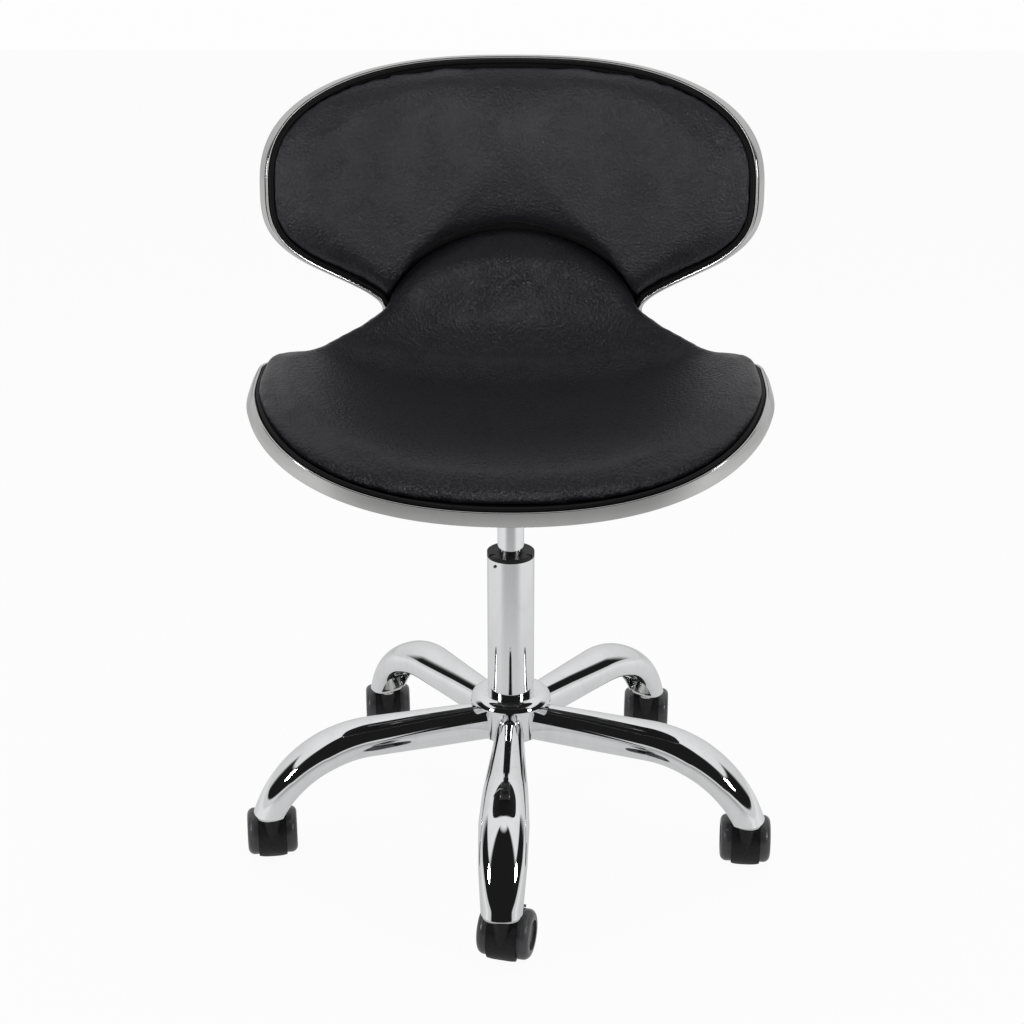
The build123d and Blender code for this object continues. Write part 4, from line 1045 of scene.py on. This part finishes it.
@dataclass
class StarBase:
    """Five hollow pressed arms with a domed section. Millimetres, each arm along +X before it is turned."""

    hub_radius: float = 33.0
    level: float = 135.5
    bend_start: float = 156.0
    bend_radius: float = 122.0
    bend_angle: float = 66.0
    tip_cut: float = 60.0
    run: float = 281.55
    buried: float = 5.0
    sections: tuple[tuple[float, float, float], ...] = (
        (0.0, 30.0, 40.0), (0.213, 37.0, 39.5), (0.444, 46.0, 37.0), (0.621, 51.0, 34.0), (0.781, 48.5, 31.0),
        (0.938, 42.0, 28.5), (1.0, 41.0, 28.0))
    wall: float = 2.2
    waist: float = 0.34
    dome_power: float = 2.25
    belly_power: float = 3.4
    rows: int = 90
    columns: int = 72
    window: tuple[float, float, float, float] = (215.0, 259.0, 31.0, 91.0)
    window_corner: float = 13.0
    window_foot: float = 0.5
    window_steps: int = 9
    arms: int = 5
    first_turn: float = -91.3

    def line(self, run: np.ndarray) -> tuple[np.ndarray, np.ndarray, np.ndarray]:
        """Centre line: level, then an arc, then straight on down; x, z and the angle turned through."""
        level = self.bend_start - self.hub_radius
        turn = np.clip((run - level) / self.bend_radius, 0.0, radians(self.bend_angle))
        extra = np.maximum(run - level - turn * self.bend_radius, 0.0)
        x = np.minimum(run, level) + self.hub_radius + self.bend_radius * np.sin(turn) + extra * np.cos(turn)
        return x, self.level - self.bend_radius * (1 - np.cos(turn)) - extra * np.sin(turn), turn

    def skin(self, inset: float, first: float) -> np.ndarray:
        """Skin of an arm: a dome over a flatter belly, carried along the centre line to the level cut.

        Round the section the side goes as cos^(2/n) and the height as sin^(2/n) of one angle, with one power n
        over the waist and one under it. Each column's run ends where its own height over the line meets the cut.

        Args:
            inset: how far the skin lies inside the outer one.
            first: run at which it starts.

        Returns:
            rows x columns x 3 grid in metres.
        """
        shares, widths, heights = np.array(self.sections).T
        angle = np.linspace(0, 2 * pi, self.columns, endpoint=False)
        over = np.sin(angle) >= 0
        power = np.where(over, self.dome_power, self.belly_power)
        side = np.sign(np.cos(angle)) * np.abs(np.cos(angle)) ** (2 / power)
        rise = np.sign(np.sin(angle)) * np.abs(np.sin(angle)) ** (2 / power)
        part = np.where(over, 1 - self.waist, self.waist)
        tip_height = heights[-1] - 2 * inset
        tip_up = (self.waist - 0.5) * tip_height + rise * part * tip_height
        straight = self.bend_start - self.hub_radius + self.bend_radius * radians(self.bend_angle)
        _, z_straight, slope = self.line(np.array(straight))
        last = straight + (z_straight + tip_up * np.cos(slope) - self.tip_cut) / np.sin(slope)
        run = first + np.linspace(0, 1, self.rows)[:, None] * (last - first)
        x, z, turn = self.line(run)
        share = np.clip(run / self.run, 0.0, 1.0)
        width = np.interp(share, shares, widths) - 2 * inset
        height = np.interp(share, shares, heights) - 2 * inset
        up = (self.waist - 0.5) * height + rise * part * height
        return np.stack([x + up * np.sin(turn), side * width / 2, z + up * np.cos(turn)], -1) * MM

    def blank(self) -> bpy.types.Object:
        """One arm along +X, closed at the hub and open at its tip."""
        outer = self.skin(0.0, -self.buried)
        inner = self.skin(self.wall, -self.buried + self.wall)[::-1]
        return Draft().tube(np.concatenate([outer, inner])).build("arm_blank")

    def cutter(self) -> bpy.types.Object:
        """Arched block that opens the underside of the tip."""
        start, end, width, top = self.window
        foot, corner = self.window_foot, self.window_corner
        arch = rounded([(-width / 2, 0.0, foot), (width / 2, 0.0, foot), (width / 2, top, corner),
                        (-width / 2, top, corner)], self.window_steps)
        rings = np.stack([np.stack([np.full(len(arch), x), arch[:, 0], arch[:, 1]], -1) for x in (start, end)])
        return Draft().tube(rings * MM).build("arm_window")

    def make(self, finishes: Finishes) -> None:
        """Cut the window out of one arm, then place turned copies of it round the hub."""
        blank, cutter = self.blank(), self.cutter()
        cut = blank.modifiers.new("window", "BOOLEAN")
        cut.operation, cut.solver, cut.object = "DIFFERENCE", "EXACT", cutter
        bake_modifiers(blank)
        points = read_points(blank.data)
        for index in range(self.arms):
            turn = radians(self.first_turn + 360.0 / self.arms * index)
            turned = points @ np.array([[cos(turn), sin(turn), 0], [-sin(turn), cos(turn), 0], [0, 0, 1]])
            arm = bpy.data.objects.new(f"star_arm_{index + 1}", blank.data.copy())
            bpy.context.scene.collection.objects.link(arm)
            write_points(arm.data, turned)
            arm.data.shade_smooth()
            arm.data.set_sharp_from_angle(angle=SMOOTH_ANGLE)
            place_piece(arm, finishes, Slot.CHROME, "base", f"base_arm_{index + 1}")
        for spare in (blank, cutter):
            bpy.data.objects.remove(spare)


# ---------------------------------------------------------------- studio


@dataclass(frozen=True)
class Lamp:
    """Rectangular lamp: where it hangs and its two sides in metres, its watts, whether shiny surfaces show it."""

    name: str
    place: tuple[float, float, float]
    size: tuple[float, float]
    power: float
    mirrored: bool = True

    def hang(self, aim: tuple[float, float, float], only: Sequence[bpy.types.Object] = ()) -> None:
        """Add the lamp.

        Args:
            aim: what it points at.
            only: the pieces that it lights; with none given it lights everything.
        """
        data = bpy.data.lights.new(self.name, "AREA")
        data.shape, data.energy = "RECTANGLE", self.power
        data.size, data.size_y = self.size
        light = bpy.data.objects.new(self.name, data)
        light.location = self.place
        light.rotation_euler = (Vector(aim) - Vector(self.place)).to_track_quat("-Z", "Y").to_euler()
        if only:
            lit = bpy.data.collections.new(f"{self.name}_lights")
            for piece in only:
                lit.objects.link(piece)
            light.light_linking.receiver_collection = lit
        light.visible_camera = False
        light.visible_glossy = self.mirrored
        bpy.context.scene.collection.objects.link(light)


@dataclass
class Studio:
    """White floor and backdrop, a soft pale ceiling and the dark side of the room that polished metal shows."""

    floor_size: float = 12.0
    camera_place: tuple[float, float, float] = (0.020, -1.850, 1.107)
    camera_tilt: float = 68.38
    camera_turn: float = 0.58
    lens: float = 67.1
    sensor: float = 36.0
    dark_span: tuple[float, float] = (0.10, 0.985)
    dark_fade: tuple[float, float] = (0.02, 0.01)
    near_edge: tuple[float, float] = (0.42, 0.6)
    wall_edge: tuple[float, float] = (-0.5, -0.25)
    wall_top: float = 0.58
    wall_fade: float = 0.03
    ceiling: float = 0.85
    horizon: float = 0.8
    dark: float = 0.012
    backdrop: float = 0.985
    floor_tones: tuple[float, float, float] = (0.30, 0.95, 0.62)
    floor_near: tuple[float, float] = (0.55, 0.95)
    floor_far: tuple[float, float] = (-0.5, -0.9)
    floor_middle: float = 0.72
    middle_span: tuple[float, float] = (0.15, 1.1)
    floor_grey: float = 0.6
    glow: tuple[float, float] = (0.7, 0.25)
    aim: tuple[float, float, float] = (0.0, 0.0, 0.6)
    overhead: Lamp = Lamp("overhead", (0.0, 0.1, 2.6), (2.0, 1.6), 26.0, mirrored=False)
    front: Lamp = Lamp("front_box", (0.0, -2.4, 1.17), (0.5, 0.4), 15.0)
    sides: tuple[Lamp, ...] = (Lamp("left_box", (-1.85, -1.25, 1.15), (0.4, 0.5), 13.0),
                               Lamp("right_box", (1.85, -1.25, 1.15), (0.4, 0.5), 13.0))

    def camera(self) -> None:
        """Camera at standing height in front of the stool."""
        data = bpy.data.cameras.new("camera")
        data.lens, data.sensor_width = self.lens, self.sensor
        camera = bpy.data.objects.new("camera", data)
        camera.location = self.camera_place
        camera.rotation_euler = (radians(self.camera_tilt), 0.0, radians(self.camera_turn))
        bpy.context.scene.collection.objects.link(camera)
        bpy.context.scene.camera = camera

    @staticmethod
    def facing(nodes: Nodes, parts: bpy.types.Node) -> bpy.types.NodeSocket:
        """How far a direction points to the near side: -Y / sqrt(X^2 + Y^2), from -1 to 1."""
        across = nodes.math("ADD", nodes.math("POWER", parts.outputs["X"], 2.0),
                            nodes.math("POWER", parts.outputs["Y"], 2.0))
        length = nodes.math("MAXIMUM", nodes.math("SQRT", across), 1e-4)
        return nodes.math("DIVIDE", nodes.math("MULTIPLY", parts.outputs["Y"], -1.0), length)

    def floor(self) -> None:
        """Wide white floor: white to the eye, and in reflections bright at the sides and darker near and far."""
        half = self.floor_size / 2
        corners = np.array([[[-half, -half, 0], [-half, half, 0]], [[half, -half, 0], [half, half, 0]]], float)
        floor = Draft().grid(corners).build("studio_floor")
        if floor.data.polygons[0].normal.z < 0:
            floor.data.flip_normals()
        material = bpy.data.materials.new("Studio floor")
        material.use_nodes = True
        tree = material.node_tree
        tree.nodes.clear()
        nodes = Nodes(tree)
        place = nodes.add("ShaderNodeTexCoord").outputs["Object"]
        parts = nodes.add("ShaderNodeSeparateXYZ", Vector=place)
        facing = self.facing(nodes, parts)
        near, side, far = self.floor_tones
        tone = nodes.math("ADD", nodes.ramp(facing, *self.floor_near, side, near),
                          nodes.ramp(facing, *self.floor_far, 0.0, far - side))
        middle = nodes.add("ShaderNodeVectorMath", {"operation": "LENGTH"}, _0=place).outputs["Value"]
        tone = nodes.add("ShaderNodeMix", {"data_type": "FLOAT"}, _0=nodes.ramp(middle, *self.middle_span),
                         _2=self.floor_middle, _3=tone).outputs[0]
        path = nodes.add("ShaderNodeLightPath")
        seen = nodes.add("ShaderNodeMix", {"data_type": "FLOAT"}, _0=path.outputs["Is Camera Ray"], _2=tone,
                         _3=1.0).outputs[0]
        grey = self.floor_grey
        diffuse = nodes.add("ShaderNodeBsdfDiffuse", Color=(grey, grey, grey, 1.0))
        glow = nodes.add("ShaderNodeEmission", Color=(1.0, 1.0, 1.0, 1.0), Strength=seen)
        least, more = self.glow
        share = nodes.math("ADD", nodes.math("MULTIPLY", path.outputs["Is Camera Ray"], more), least)
        mixed = nodes.add("ShaderNodeMixShader", _0=share, _1=diffuse.outputs[0], _2=glow.outputs[0])
        nodes.add("ShaderNodeOutputMaterial", Surface=mixed.outputs[0])
        floor.data.materials.append(material)

    def world(self) -> None:
        """Backdrop: white to the eye; elsewhere a dark lower half on the near side under a pale ceiling."""
        world = bpy.data.worlds.new("Studio")
        world.use_nodes = True
        tree = world.node_tree
        tree.nodes.clear()
        nodes = Nodes(tree)
        place = nodes.add("ShaderNodeTexCoord")
        parts = nodes.add("ShaderNodeSeparateXYZ", Vector=place.outputs["Generated"])
        height, bottom, top = parts.outputs["Z"], *self.dark_span
        under, over = self.dark_fade
        low = nodes.math("MULTIPLY", nodes.ramp(height, bottom - under, bottom + under),
                         nodes.ramp(height, top + over, top - over))
        facing = self.facing(nodes, parts)
        walls = nodes.math("MULTIPLY", nodes.ramp(facing, *self.wall_edge),
                           nodes.ramp(height, self.wall_top + self.wall_fade, self.wall_top - self.wall_fade))
        shade = nodes.math("MULTIPLY", nodes.math("MAXIMUM", nodes.ramp(facing, *self.near_edge), walls), low)
        soft = nodes.ramp(parts.outputs["Z"], 0.0, 1.0, self.ceiling * self.horizon, self.ceiling)
        level = nodes.add("ShaderNodeMix", {"data_type": "FLOAT"}, _0=shade, _2=soft, _3=self.dark).outputs[0]
        path = nodes.add("ShaderNodeLightPath")
        seen = nodes.add("ShaderNodeMix", {"data_type": "FLOAT"}, _0=path.outputs["Is Camera Ray"], _2=level,
                         _3=self.backdrop).outputs[0]
        backdrop = nodes.add("ShaderNodeBackground", Color=(1.0, 1.0, 1.0, 1.0), Strength=seen)
        nodes.add("ShaderNodeOutputWorld", Surface=backdrop.outputs[0])
        bpy.context.scene.world = world

    def make(self) -> None:
        """Set up camera, floor, backdrop and lamps; the front lamp is for the pads, the side lamps spare the seat."""
        self.camera()
        self.floor()
        self.world()
        self.overhead.hang(self.aim)
        pads = [bpy.data.objects[name] for name in ("seat_cushion", "back_cushion")]
        self.front.hang(self.aim, pads)
        rest = [piece for piece in bpy.context.scene.objects if piece.type == "MESH" and piece is not pads[0]]
        for lamp in self.sides:
            lamp.hang(self.aim, rest)
        bpy.context.scene.view_settings.view_transform = "Standard"
        bpy.context.scene.view_settings.look = "None"


def main() -> None:
    """Build everything in order."""
    logging.basicConfig(level=logging.INFO, format="%(name)s %(message)s")
    finishes = Finishes()
    finishes.dress_frame()
    surface, outline = ShellSurface(), Outline()
    SeatShell(surface, outline).make(finishes)
    Pads(surface, outline).make(finishes)
    StarBase().make(finishes)
    Studio().make()


if __name__ == "__main__":
    main()
